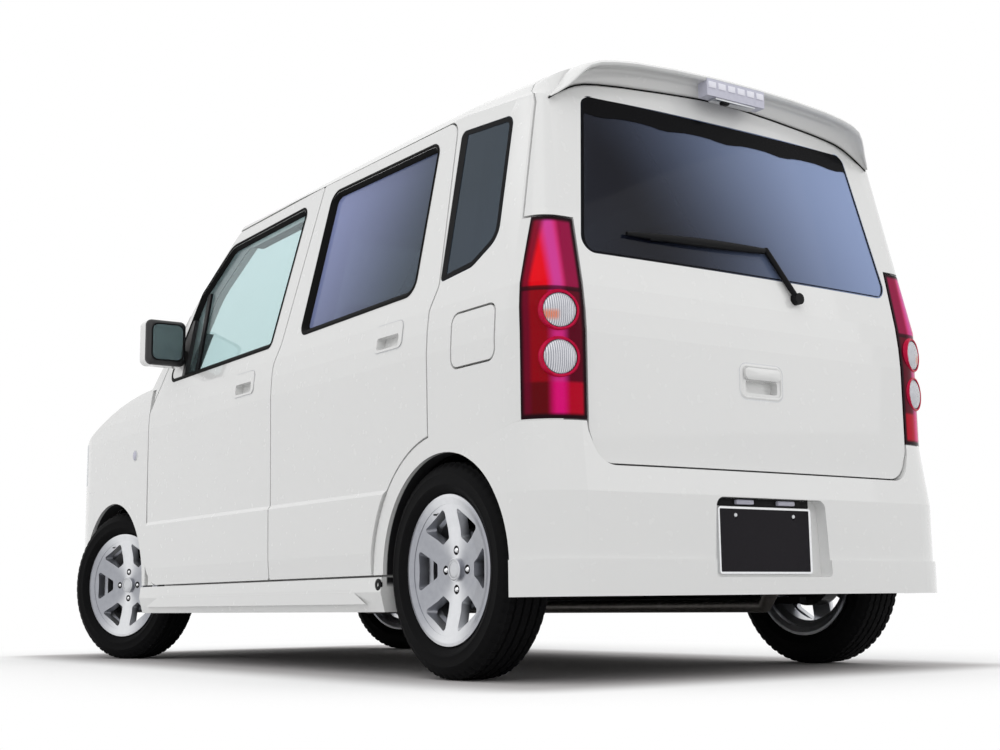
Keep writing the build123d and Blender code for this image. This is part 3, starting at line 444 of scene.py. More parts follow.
class Looks:
    """The car's finishes, made once and shared by the operators."""

    made = {}

    @classmethod
    def get(cls, name):
        if name not in cls.made:
            cls.made[name] = cls.RECIPES[name](name)
        return cls.made[name]

    RECIPES = {
        "pearl": paint,
        "pearl_door": lambda n: paint(n, 0.058),
        "pearl_wall": lambda n: paint(n, 0.085),
        # Panes: tint, the coating's dark end, its pale painted reflection, share, axis, and low and high of
        # the run
        "clear_pane": lambda n: glass(
            n, (0.80, 0.93, 0.95), (0.30, 0.42, 0.42), (0.70, 0.84, 0.88), 0.08, (0, 0, 1), 1.0, 1.5
        ),
        "screen_pane": lambda n: glass(
            n, (0.80, 0.93, 0.92), (0.26, 0.40, 0.36), (0.60, 0.76, 0.76), 0.08, (0, 0, 1), 1.0, 1.5
        ),
        "privacy_pane": lambda n: glass(
            n, (0.40, 0.48, 0.58), (0.036, 0.056, 0.078), (0.33, 0.38, 0.68), 0.80,
            (0.9, 0.0, 0.6), -0.35, 0.62,
        ),
        "rear_pane": lambda n: glass(
            n, (0.40, 0.46, 0.56), (0.006, 0.007, 0.014), (0.36, 0.46, 0.74), 0.84,
            (0, -0.8, 0.45), 0.22, 1.12,
        ),
        "ceramic": lambda n: plastic(
            n, (0.002, 0.002, 0.003), (0.005, 0.005, 0.006), 0.12, 200.0, 0.0001, Specular_IOR_Level=0.04
        ),
        "seal": lambda n: rubber(n, (0.003, 0.003, 0.003), (0.008, 0.008, 0.008), 0.5),
        "tyre": lambda n: rubber(n, (0.003, 0.003, 0.004), (0.009, 0.009, 0.009), 0.62),
        "black": lambda n: plastic(
            n, (0.004, 0.004, 0.005), (0.012, 0.012, 0.013), 0.34, Specular_IOR_Level=0.09
        ),
        "cabin": lambda n: plastic(n, (0.09, 0.09, 0.095), (0.16, 0.16, 0.165), 0.55, 420.0, 0.0008),
        "underbody": lambda n: plastic(
            n, (0.004, 0.004, 0.004), (0.012, 0.011, 0.011), 0.6, 90.0, 0.001, Specular_IOR_Level=0.06
        ),
        "engine": lambda n: metal(n, (0.30, 0.30, 0.30), (0.50, 0.50, 0.50), 0.45, 200.0),
        "exhaust": lambda n: metal(n, (0.16, 0.15, 0.14), (0.36, 0.34, 0.32), 0.4, 60.0),
        "chrome": lambda n: metal(n, (0.72, 0.73, 0.75), (0.86, 0.87, 0.88), 0.06, 120.0),
        "satin": lambda n: metal(n, (0.50, 0.51, 0.53), (0.64, 0.65, 0.67), 0.26, 500.0),
        "mirror_glass": lambda n: metal(n, (0.30, 0.38, 0.39), (0.34, 0.42, 0.43), 0.06, 3.0),
        "red_lens": red_lens,
        "red_ring": lambda n: plastic(
            n, (0.42, 0.002, 0.02), (0.66, 0.01, 0.08), 0.1, 60.0, 0.0001, Specular_IOR_Level=0.08
        ),
        "clear_lens": lambda n: clear_lens(n, (0.24, 0.25, 0.29), (0.80, 0.80, 0.84), 62.0, "Y", True),
        "head_lens": lambda n: clear_lens(n, (0.22, 0.25, 0.28), (0.56, 0.60, 0.64), 26.0, "Y"),
        "stop_lens": lambda n: plastic(n, (0.50, 0.50, 0.60), (0.62, 0.62, 0.72), 0.12, 60.0, 0.0002),
        "stop_cell": lambda n: plastic(n, (0.80, 0.80, 0.90), (0.90, 0.90, 0.97), 0.10, 60.0, 0.0002),
        "amber": lambda n: plastic(
            n, (0.60, 0.10, 0.01), (0.85, 0.22, 0.03), 0.15, 90.0, 0.0002,
            Coat_Weight=1.0, Coat_Roughness=0.02,
        ),
        "seat": lambda n: cloth(n, (0.12, 0.17, 0.12), (0.22, 0.29, 0.21)),
        "plate": lambda n: plastic(
            n, (0.004, 0.003, 0.005), (0.010, 0.008, 0.012), 0.35, 300.0, Specular_IOR_Level=0.12
        ),
    }


def coat(node, material):
    """Give a CAD node a material."""
    materials = NODES[node].data.materials
    materials.clear()
    materials.append(material)


def dress(node, look):
    """Give a CAD node one of the shared finishes."""
    coat(node, Looks.get(look))


def piece(name, verts, faces, body, look, slot=None, angle=35.0, matrix=None):
    """New mesh in the car's frame that rides on a body."""
    mesh = bpy.data.meshes.new(name)
    points = [tuple(matrix @ Vector(v)) if matrix is not None else tuple(v) for v in verts]
    mesh.from_pydata(points, [], faces)
    shell = bmesh.new()
    shell.from_mesh(mesh)
    bmesh.ops.recalc_face_normals(shell, faces=shell.faces)
    shell.to_mesh(mesh)
    shell.free()
    mesh.shade_smooth()
    mesh.set_sharp_from_angle(angle=math.radians(angle))
    made = bpy.data.objects.new(name, mesh)
    bpy.context.scene.collection.objects.link(made)
    mesh.materials.append(Looks.get(look))
    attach(made, body)
    return made


def frame_at(place, normal):
    """Matrix of a frame whose z axis points along a level or leaning normal."""
    along = Vector((0, 0, 1)).cross(normal).normalized()
    matrix = Matrix((along, normal.cross(along), normal)).transposed().to_4x4()
    matrix.translation = place
    return matrix


def taken(shell):
    """Points and faces of a bmesh, which is freed."""
    shell.verts.index_update()
    verts = [tuple(v.co) for v in shell.verts]
    faces = [tuple(v.index for v in f.verts) for f in shell.faces]
    shell.free()
    return verts, faces


def repeated(verts, faces, shifts):
    """Points and faces of one shape that stands at several places."""
    all_verts, all_faces = [], []
    for shift in shifts:
        start = len(all_verts)
        all_verts += [Vector(v) + shift for v in verts]
        all_faces += [tuple(k + start for k in f) for f in faces]
    return all_verts, all_faces


def fan(start, count):
    """Triangles from a ring of points to the point that follows it."""
    return [(start + i, start + (i + 1) % count, start + count) for i in range(count)]


def grid_faces(rows, columns, close_columns=False):
    """Quads of a grid of points stored row by row."""
    faces = []
    for row in range(rows - 1):
        for column in range(columns if close_columns else columns - 1):
            here, below = row * columns, (row + 1) * columns
            beside = (column + 1) % columns
            faces.append((here + column, here + beside, below + beside, below + column))
    return faces


def turned(profile, segments):
    """Points and faces of a profile of (radius, height) turned about the local z axis."""
    turns = [2 * math.pi * i / segments for i in range(segments)]
    verts = [(r * math.cos(t), r * math.sin(t), z) for r, z in profile for t in turns]
    return verts, grid_faces(len(profile), segments, close_columns=True)


def tube(path, radius, sides):
    """Points and faces of a round bar along a path; it tapers where radius is a list."""
    points = [Vector(p) for p in path]
    count = len(points)
    radii = radius if isinstance(radius, list) else [radius] * count
    verts = []
    normal = None
    for i, point in enumerate(points):
        ahead = points[min(i + 1, count - 1)]
        behind = points[max(i - 1, 0)]
        along = (ahead - behind).normalized()
        if normal is None:
            normal = along.orthogonal().normalized()
        normal = (normal - along * normal.dot(along)).normalized()
        across = along.cross(normal)
        for side in range(sides):
            turn = 2 * math.pi * side / sides
            verts.append(point + (normal * math.cos(turn) + across * math.sin(turn)) * radii[i])
    faces = grid_faces(count, sides, close_columns=True)
    faces.append(tuple(range(sides)))
    faces.append(tuple(range((count - 1) * sides, count * sides)))
    return verts, faces


def brick(size, radius, segments=3):
    """Points and faces of a box with round edges, centred on the origin."""
    shell = bmesh.new()
    bmesh.ops.create_cube(shell, size=1.0)
    bmesh.ops.scale(shell, vec=size, verts=shell.verts)
    bmesh.ops.bevel(
        shell, geom=shell.edges[:], offset=radius, segments=segments,
        profile=0.5, affect="EDGES", clamp_overlap=True,
    )
    return taken(shell)


def round_rect(width, height, radius):
    """Corner points of a rounded rectangle round the origin, counter-clockwise."""
    points = []
    for turn, (cx, cy) in enumerate(((1, 1), (-1, 1), (-1, -1), (1, -1))):
        for i in range(CORNER_STEPS + 1):
            angle = math.pi / 2 * (turn + i / CORNER_STEPS)
            across = cx * (width / 2 - radius) + radius * math.cos(angle)
            up = cy * (height / 2 - radius) + radius * math.sin(angle)
            points.append((across, up))
    return points


def hull(points):
    """Convex outline of flat points, counter-clockwise."""
    points = sorted(set((round(a, 5), round(b, 5)) for a, b in points))
    half = []
    for source in (points, points[::-1]):
        chain = []
        for p in source:
            while len(chain) > 1 and (
                (chain[-1][0] - chain[-2][0]) * (p[1] - chain[-2][1])
                - (chain[-1][1] - chain[-2][1]) * (p[0] - chain[-2][0])
            ) <= 0:
                chain.pop()
            chain.append(p)
        half += chain[:-1]
    return half


def grown(outline, amount):
    """Outline moved outwards by an amount, or inwards where it is negative."""
    made = []
    for i, point in enumerate(outline):
        before, after = Vector(outline[i - 1]), Vector(outline[(i + 1) % len(outline)])
        here = Vector(point)
        first, second = (here - before).normalized(), (after - here).normalized()
        normal = (Vector((first.y, -first.x)) + Vector((second.y, -second.x))).normalized()
        spread = max(0.4, normal.dot(Vector((first.y, -first.x))))
        made.append(tuple(here + normal * (amount / spread)))
    return made


def dense(outline, step):
    """Outline with more points on its long sides."""
    made = []
    for i, point in enumerate(outline):
        here, after = Vector(point), Vector(outline[(i + 1) % len(outline)])
        parts = max(1, int((after - here).length / step))
        made += [tuple(here.lerp(after, k / parts)) for k in range(parts)]
    return made


class Surface:
    """Finds points on the outside of CAD nodes."""

    def __init__(self, *nodes):
        self.trees = []
        for node in nodes:
            mesh = NODES[node].data
            mesh.calc_loop_triangles()
            self.trees.append(BVHTree.FromPolygons(
                [v.co for v in mesh.vertices], [t.vertices for t in mesh.loop_triangles]
            ))

    def hit(self, start, direction):
        """Nearest point that a ray meets, and the normal there."""
        best = None
        for tree in self.trees:
            place, normal, _, distance = tree.ray_cast(Vector(start), Vector(direction))
            if place is not None and (best is None or distance < best[2]):
                best = (place, normal if normal.dot(Vector(direction)) < 0 else -normal, distance)
        if best is None:
            raise RuntimeError(f"no surface ahead of {tuple(start)}")
        return best[0], best[1]

    def beside(self, x, z, side, lift=0.0):
        place, normal = self.hit((x, side * BESIDE, z), (0, -side, 0))
        return place + normal * lift

    def behind(self, y, z, lift=0.0):
        place, normal = self.hit((BEHIND, y, z), (1, 0, 0))
        return place + normal * lift


def loops_piece(name, loops, body, look, slot, angle=35.0):
    """Closed band through equal loops of points."""
    verts = [p for loop in loops for p in loop]
    faces = grid_faces(len(loops), len(loops[0]), close_columns=True)
    return piece(name, verts, faces, body, look, slot, angle)


class KEI_OT_panels(bpy.types.Operator):
    """Finish the body panels, the underside and the cabin's hard parts"""

    bl_idname = "kei.panels"
    bl_label = "Panels"

    LOOKS = {
        "pearl": (
            "tailgate", "rear_bumper", "roof_panel", "bonnet", "front_fenders", "front_bumper",
            "nose_panel", "side_skirts", "rear_spoiler", "fuel_flap",
        ),
        "pearl_door": (
            "front_door_left", "front_door_right", "rear_door_left", "rear_door_right",
            "front_door_frame_left", "front_door_frame_right",
            "rear_door_frame_left", "rear_door_frame_right",
        ),
        "pearl_wall": ("body_side_left", "body_side_right"),
        "black": ("front_grille", "cowl_panel", "rear_wiper"),
        "cabin": ("dashboard", "steering_wheel"),
        "underbody": (
            "floor_pan", "front_suspension", "rear_axle", "knuckle_left", "knuckle_right", "fuel_tank",
        ),
        "engine": ("engine_block",),
        "exhaust": ("exhaust",),
        "plate": ("number_plate",),
        "red_lens": ("tail_lamps",),
        "head_lens": ("headlamps",),
        "stop_lens": ("high_mount_lamp",),
    }

    def execute(self, context):
        for look, nodes in self.LOOKS.items():
            for node in nodes:
                dress(node, look)
        return {"FINISHED"}


class KEI_OT_roof(bpy.types.Operator):
    """Round the shoulders where the roof meets the sides and the tailgate, and shape the spoiler"""

    bl_idname = "kei.roof"
    bl_label = "Roof"

    # Columns: node, body, finish, slot
    SKINS = (
        ("roof_panel", "body", "pearl", "body_paint"),
        ("body_side_left", "body", "pearl_wall", "body_paint"),
        ("body_side_right", "body", "pearl_wall", "body_paint"),
        ("tailgate", "tailgate", "pearl", "body_paint"),
        ("windscreen", "body", "screen_pane", "clear_glass"),
    )
    SHARP = 62.0
    WELD = 0.00001
    # Faces that reach above this height are cut finely and shaded anew
    LOWEST = 1.462
    # Cuts along the roof: first and last distance from the middle, number
    CUTS = ((0.2, 0.48, 8), (0.5, 0.62, 10))
    # The shoulder starts at this height, and falls by this slope behind the bend
    FOOT, BEND, FALL = 1.514, -1.20, 0.10
    # Half width of the shoulder, its growth behind the bend, and the two powers of its curve
    HALF, GROWTH, FLAT, ROUND = 0.613, 0.04, 3.8, 0.7
    # Spoiler from its middle to a tip. Columns: y, rear edge x, top z, foot z on the tailgate, thickness
    SPAN = (
        (0.000, -1.616, 1.6080, 1.566, 1.0),
        (0.081, -1.616, 1.6075, 1.564, 1.0),
        (0.214, -1.616, 1.6030, 1.555, 1.0),
        (0.360, -1.616, 1.5930, 1.544, 1.0),
        (0.430, -1.616, 1.5830, 1.537, 1.0),
        (0.475, -1.614, 1.5740, 1.530, 1.0),
        (0.505, -1.610, 1.5620, 1.521, 0.95),
        (0.525, -1.603, 1.5450, 1.512, 0.9),
        (0.542, -1.593, 1.5240, 1.503, 0.8),
        (0.558, -1.582, 1.5050, 1.494, 0.65),
        (0.580, -1.568, 1.4850, 1.480, 0.4),
        (0.597, -1.556, 1.4710, 1.468, 0.15),
    )
    # Sections of the spoiler are close together outside this y and wide apart inside the other
    WING, MIDDLE = 0.42, 0.41
    # Rolled lip of the spoiler: way ahead of its rear edge, way below its top
    LIP = ((0.010, 0.0), (0.004, 0.002), (0.0, 0.008), (0.003, 0.014), (0.009, 0.016))
    # Depth of the blade in the tailgate, its rise at the front and half-way, and the hollow below it
    SUNK, FRONT_RISE, HALF_RISE, HOLLOW = 0.006, 0.010, 0.006, 0.012
    # Joint line under the blade: radius, way off the tailgate, way below the blade
    LINE, LINE_LIFT, LINE_DROP = 0.0022, 0.001, 0.0015

    def execute(self, context):
        for node, body, look, slot in self.SKINS:
            verts, faces = self.cut(node)
            verts = [self.bowed(*v) for v in verts]
            made = piece(f"{node}_skin", verts, faces, body, look, slot, self.SHARP)
            self.keep_normals(made, node)
            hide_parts(node)
        self.spoiler()
        return {"FINISHED"}

    def cut(self, node):
        """Points and faces of a node, cut finely near the roof."""
        shell = bmesh.new()
        shell.from_mesh(NODES[node].data)
        bmesh.ops.remove_doubles(shell, verts=shell.verts, dist=self.WELD)
        stations = [y for row in self.CUTS for y in np.linspace(*row)]
        planes = [((0, y * sign, 0), (0, 1, 0)) for y in stations for sign in (1, -1)]
        ways = ((1, 0, 0), (0, 0, 1), (-self.FALL, 0, 1))
        planes += [((self.BEND, 0, self.FOOT), way) for way in ways]
        for place, normal in planes:
            faces = [f for f in shell.faces if max(v.co.z for v in f.verts) > self.LOWEST]
            geometry = set(faces)
            for face in faces:
                geometry.update(face.edges)
                geometry.update(face.verts)
            bmesh.ops.bisect_plane(
                shell, geom=list(geometry), dist=self.WELD, plane_co=place, plane_no=normal
            )
        bmesh.ops.triangulate(shell, faces=[f for f in shell.faces if len(f.verts) > 3])
        return taken(shell)

    def bowed(self, x, y, z):
        """A point, sunk where it lies above the shoulder and far from the middle."""
        behind = max(self.BEND - x, 0.0)
        foot = self.FOOT - self.FALL * behind
        if z <= foot:
            return x, y, z
        reach = min(abs(y) / (self.HALF + self.GROWTH * behind), 1.0)
        return x, y, foot + (z - foot) * (1 - reach ** self.FLAT) ** self.ROUND

    def keep_normals(self, made, node):
        """Give the faces below the shoulder the normals of the CAD surface."""
        source = NODES[node].data
        source.calc_loop_triangles()
        corners = [v.co for v in source.vertices]
        tree = BVHTree.FromPolygons(corners, [t.vertices for t in source.loop_triangles])
        normals = []
        for face in made.data.polygons:
            points = [made.data.vertices[i].co for i in face.vertices]
            if max(p.z for p in points) > self.LOWEST:
                normals += [Vector((0, 0, 0))] * len(points)
                continue
            triangle = source.loop_triangles[tree.find_nearest(face.center)[2]]
            ring = [corners[i] for i in triangle.vertices]
            ends = [source.corner_normals[i].vector for i in triangle.loops]
            for point in points:
                shares = poly_3d_calc(ring, point)
                normals.append(sum((end * share for end, share in zip(ends, shares)), Vector((0, 0, 0))))
        made.data.normals_split_custom_set(normals)

    def spoiler(self):
        """Blade with a rolled lip and a hollow underside that runs out to both tips."""
        gate = Surface("tailgate")
        half = np.array(self.SPAN)
        wing = np.linspace(self.WING, half[-1, 0], 40)
        rows, line = [], []
        for y in np.concatenate([-wing[::-1], np.linspace(-self.MIDDLE, self.MIDDLE, 31), wing]):
            edge, top, foot, thick = [float(np.interp(abs(y), half[:, 0], half[:, k])) for k in range(1, 5)]
            skin = gate.behind(y, foot).x
            crest = top + self.FRONT_RISE * thick
            front = gate.behind(y, crest).x
            row = [(front + self.SUNK, crest), ((front + edge) / 2, top + self.HALF_RISE * thick)]
            row += [(edge + back * thick, top - down * thick) for back, down in self.LIP]
            lip_x, lip_z = row[-1]
            for share in np.linspace(0.12, 1.0, 8):
                rise = self.HOLLOW * thick * math.sin(math.pi * share)
                row.append((lip_x + (skin - lip_x) * share, lip_z + (foot - lip_z) * share + rise))
            row.append((skin + self.SUNK, foot))
            rows.append([Vector((x, y, z)) for x, z in row])
            line.append(Vector((skin - self.LINE_LIFT, y, foot - self.LINE_DROP)))
        verts = [p for row in rows for p in row]
        faces = grid_faces(len(rows), len(rows[0]))
        made = piece("spoiler_blade", verts, faces, "tailgate", "pearl", "body_paint", 50.0)
        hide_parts("rear_spoiler")
        piece("spoiler_line", *tube(line, self.LINE, 6), "tailgate", "seal", "black_plastic", 60.0)


class KEI_OT_panes(bpy.types.Operator):
    """Glaze the car: panes, black borders and rubber seals"""

    bl_idname = "kei.panes"
    bl_label = "Panes"

    LOOKS = {
        "clear_pane": ("front_door_glass_left", "front_door_glass_right"),
        "screen_pane": ("windscreen",),
        "privacy_pane": ("rear_door_glass_left", "rear_door_glass_right", "quarter_glasses"),
        "rear_pane": ("tailgate_glass",),
    }
    # Window seal: lift of its edge, crest and brink off the skin, of its foot off the pane, depth of its lip
    SEAL_EDGE, SEAL_CREST, SEAL_BRINK, SEAL_FOOT, SEAL_LIP = 0.0008, 0.0032, 0.002, 0.0006, 0.004
    # Bar of the front window: x and z of its foot, its run and rise, its half width and its height
    BAR_X, BAR_Z, BAR_RUN, BAR_RISE = 0.412, 1.02, 0.017, 0.285
    BAR_HALF, BAR_LIFT, BAR_STEPS = 0.012, 0.008, 8
    BORDER_LIFT = 0.0012
    QUARTER_STRIP = 0.034

    def execute(self, context):
        trim = context.scene.kei_trim
        for look, nodes in self.LOOKS.items():
            for node in nodes:
                dress(node, look)
        for side, sign in SIDES:
            for end in ("front", "rear"):
                self.seal(f"{end}_door_{side}", f"{end}_door_glass_{side}", sign, trim.seal)
            self.divider(side, sign)
            self.quarter(side, sign)
        self.tailgate(trim.band)
        return {"FINISHED"}

    def outline(self, node, sign, step=0.06):
        """Outline of a side pane, seen from its own side."""
        points = [(v.co.x, v.co.z) for v in NODES[node].data.vertices if v.co.y * sign > 0]
        return dense(hull(points), step)

    def seal(self, door, pane, sign, width):
        """Rubber round a door window, from the skin down to the pane."""
        skin = Surface(door, door.replace("door", "door_frame"))
        deep = Surface(pane)
        edge = self.outline(pane, sign)
        outer = [skin.beside(x, z, sign, self.SEAL_EDGE) for x, z in grown(edge, width)]
        crest = [skin.beside(x, z, sign, self.SEAL_CREST) for x, z in grown(edge, width * 0.45)]
        brink = [skin.beside(x, z, sign, self.SEAL_BRINK) for x, z in grown(edge, 0.003)]
        lip = []
        for point, (x, z) in zip(brink, grown(edge, -0.004)):
            lip.append(Vector((x, point.y - sign * self.SEAL_LIP, z)))
        foot = [deep.beside(x, z, sign, self.SEAL_FOOT) for x, z in grown(edge, -0.012)]
        loops_piece(f"seal_{door}", [outer, crest, lip, foot], door, "seal", "black_plastic", 50.0)

    def divider(self, side, sign):
        """Bar between the front window and its small corner light."""
        deep = Surface(f"front_door_glass_{side}")
        rows = []
        for across in (-self.BAR_HALF, self.BAR_HALF):
            row = []
            for t in np.linspace(0, 1, self.BAR_STEPS):
                x = self.BAR_X + self.BAR_RUN * t + across
                row.append(deep.beside(x, self.BAR_Z + self.BAR_RISE * t, sign, self.BAR_LIFT))
            rows.append(row)
        foot = [[p - Vector((0, sign * self.BAR_LIFT, 0)) for p in row] for row in rows]
        verts = [p for row in (foot[0], *rows, foot[1]) for p in row]
        faces = grid_faces(4, self.BAR_STEPS)
        piece(f"divider_{side}", verts, faces, f"front_door_{side}", "black", "black_plastic")

    def quarter(self, side, sign):
        """Black border of the fixed rear side pane, with a broad strip at its front."""
        skin = Surface("quarter_glasses")
        edge = self.outline("quarter_glasses", sign, 0.03)
        front = max(x for x, z in edge) - self.QUARTER_STRIP
        inner = [(min(x, front), z) for x, z in grown(edge, -0.016)]
        rings = (grown(edge, -0.002), inner)
        loops = [[skin.beside(x, z, sign, self.BORDER_LIFT) for x, z in ring] for ring in rings]
        loops_piece(f"quarter_border_{side}", loops, "body", "ceramic", "black_plastic")

    def tailgate(self, band):
        """Black border of the rear pane, deeper at the top."""
        skin = Surface("tailgate_glass")
        edge = dense(hull([(v.co.y, v.co.z) for v in NODES["tailgate_glass"].data.vertices]), 0.03)
        top = max(z for y, z in edge)
        low = min(z for y, z in edge)
        inner = []
        for y, z in edge:
            brow = top - band - 0.008 * math.cos(y * 14.0) ** 4
            inner.append((y * 0.982, min(max(z, low + 0.006), brow)))
        rings = (grown(edge, -0.003), inner)
        loops = [[skin.behind(y, z, self.BORDER_LIFT) for y, z in ring] for ring in rings]
        loops_piece("rear_pane_border", loops, "tailgate", "ceramic", "black_plastic")


class KEI_OT_wheels(bpy.types.Operator):
    """Finish the wheels: treaded tyres, nuts, caps and valves"""

    bl_idname = "kei.wheels"
    bl_label = "Wheels"

    # Half of the tyre's section from the bead to the crown: radius, offset from the middle
    SECTION = (
        (0.1800, 0.0560), (0.1950, 0.0562), (0.1990, 0.0610), (0.2060, 0.0690), (0.2140, 0.0738),
        (0.2150, 0.0749), (0.2200, 0.0764), (0.2210, 0.0758), (0.2320, 0.0772), (0.2440, 0.0758),
        (0.2450, 0.0763), (0.2500, 0.0746), (0.2510, 0.0736), (0.2600, 0.0702), (0.2660, 0.0664),
        (0.2705, 0.0612), (0.2735, 0.0560),
    )
    # Ribs across the tread: from, to, offset from the middle
    RIBS = ((0.0545, 0.0395), (0.0325, 0.0155), (0.0085, -0.0085), (-0.0155, -0.0325), (-0.0395, -0.0545))
    # Kinds of row in the section
    SIDEWALL, RIB, GROOVE = range(3)
    # Radius of the crown and its curve, and where the shoulder blocks start: offset, radius
    CROWN, CURVE, SHOULDER, SHOULDER_RADIUS = 0.2783, 0.45, 0.03, 0.262
    # Turned profiles: radius, height
    NUT = ((0.0, 0.0385), (0.004, 0.0382), (0.0072, 0.0355), (0.0088, 0.0325), (0.0088, 0.0240))
    CAP = (
        (0.0, 0.0462), (0.012, 0.0460), (0.020, 0.0452), (0.0212, 0.0440), (0.0228, 0.0440),
        (0.024, 0.0450), (0.0275, 0.0440), (0.0292, 0.0415), (0.0292, 0.0380),
    )
    STEM = ((0.0, 0.062), (0.0022, 0.0615), (0.0026, 0.052), (0.0034, 0.050), (0.0036, 0.038))
    NUTS = 4
    VALVE_CIRCLE, VALVE_TURN = 0.1585, 2.0

    def execute(self, context):
        verts, faces = self.tyre(context.scene.kei_tyre)
        for name, axle, half, side, steered in WHEEL_ROWS:
            matrix = self.placed(axle, half, side, steered)
            body = f"wheel_{name}"
            made = piece(f"tread_{name}", verts, faces, body, "tyre", "tyre_rubber", 40.0, matrix)
            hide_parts(f"tyre_{name}")
            coat(f"wheel_{name}", alloy(f"alloy_{name}", matrix))
            self.fittings(name, body, matrix)
        return {"FINISHED"}

    def placed(self, axle, half, side, steered):
        """Matrix from the wheel's own frame, its z axis pointing outwards, to the car."""
        centre = Vector((axle, side * half, AXLE_HEIGHT))
        outward = Vector((0, side, 0))
        if steered:
            pin = Vector((axle, side * KINGPIN_Y, AXLE_HEIGHT))
            turn = Matrix.Rotation(STEER_REST, 3, "Z")
            centre = pin + turn @ (centre - pin)
            outward = turn @ outward
        return frame_at(centre, outward)

    def tyre(self, tread):
        """Tyre with raised sidewall rings, long grooves and cross cuts at the shoulders."""
        crown = [(self.CROWN - self.CURVE * w * w, w, self.RIB) for rib in self.RIBS for w in rib]
        rows = [(r, w, self.SIDEWALL) for r, w in self.SECTION]
        for i, row in enumerate(crown):
            rows.append(row)
            if i % 2 and i + 1 < len(crown):
                after = crown[i + 1]
                gap = (row[1] - after[1]) * 0.2
                rows.append((row[0] - tread.groove, row[1] - gap, self.GROOVE))
                rows.append((after[0] - tread.groove, after[1] + gap, self.GROOVE))
        rows += [(r, -w, self.SIDEWALL) for r, w in reversed(self.SECTION)]
        per = tread.segments // tread.blocks
        verts = []
        for index, (radius, w, kind) in enumerate(rows):
            inner = kind == self.RIB and abs(w) < self.SHOULDER
            outer = kind == self.RIB and abs(w) > self.SHOULDER
            outer = outer or kind == self.SIDEWALL and radius > self.SHOULDER_RADIUS
            shift = 2 if w < 0 else 0
            for i in range(tread.segments):
                r = radius
                if outer and (i + shift) % per == 0:
                    r -= tread.sipe
                elif inner and (i + index) % (2 * per) == 0:
                    r -= tread.sipe * 0.6
                turn = 2 * math.pi * i / tread.segments
                verts.append((r * math.cos(turn), r * math.sin(turn), w))
        return verts, grid_faces(len(rows), tread.segments, close_columns=True)

    def fittings(self, name, body, matrix):
        """Nuts, centre cap and valve of a wheel."""
        turns = [math.pi / 2 * i for i in range(self.NUTS)]
        shifts = [Vector((NUT_CIRCLE * math.cos(t), NUT_CIRCLE * math.sin(t), 0)) for t in turns]
        nuts = repeated(*turned(self.NUT, 6), shifts)
        piece(f"nuts_{name}", *nuts, body, "chrome", "alloy", 30.0, matrix)
        piece(f"cap_{name}", *turned(self.CAP, 40), body, "satin", "alloy", 40.0, matrix)
        turn = self.VALVE_TURN
        shift = Vector((self.VALVE_CIRCLE * math.cos(turn), self.VALVE_CIRCLE * math.sin(turn), 0))
        stem = repeated(*turned(self.STEM, 10), [shift])
        piece(f"valve_{name}", *stem, body, "seal", "tyre_rubber", 40.0, matrix)


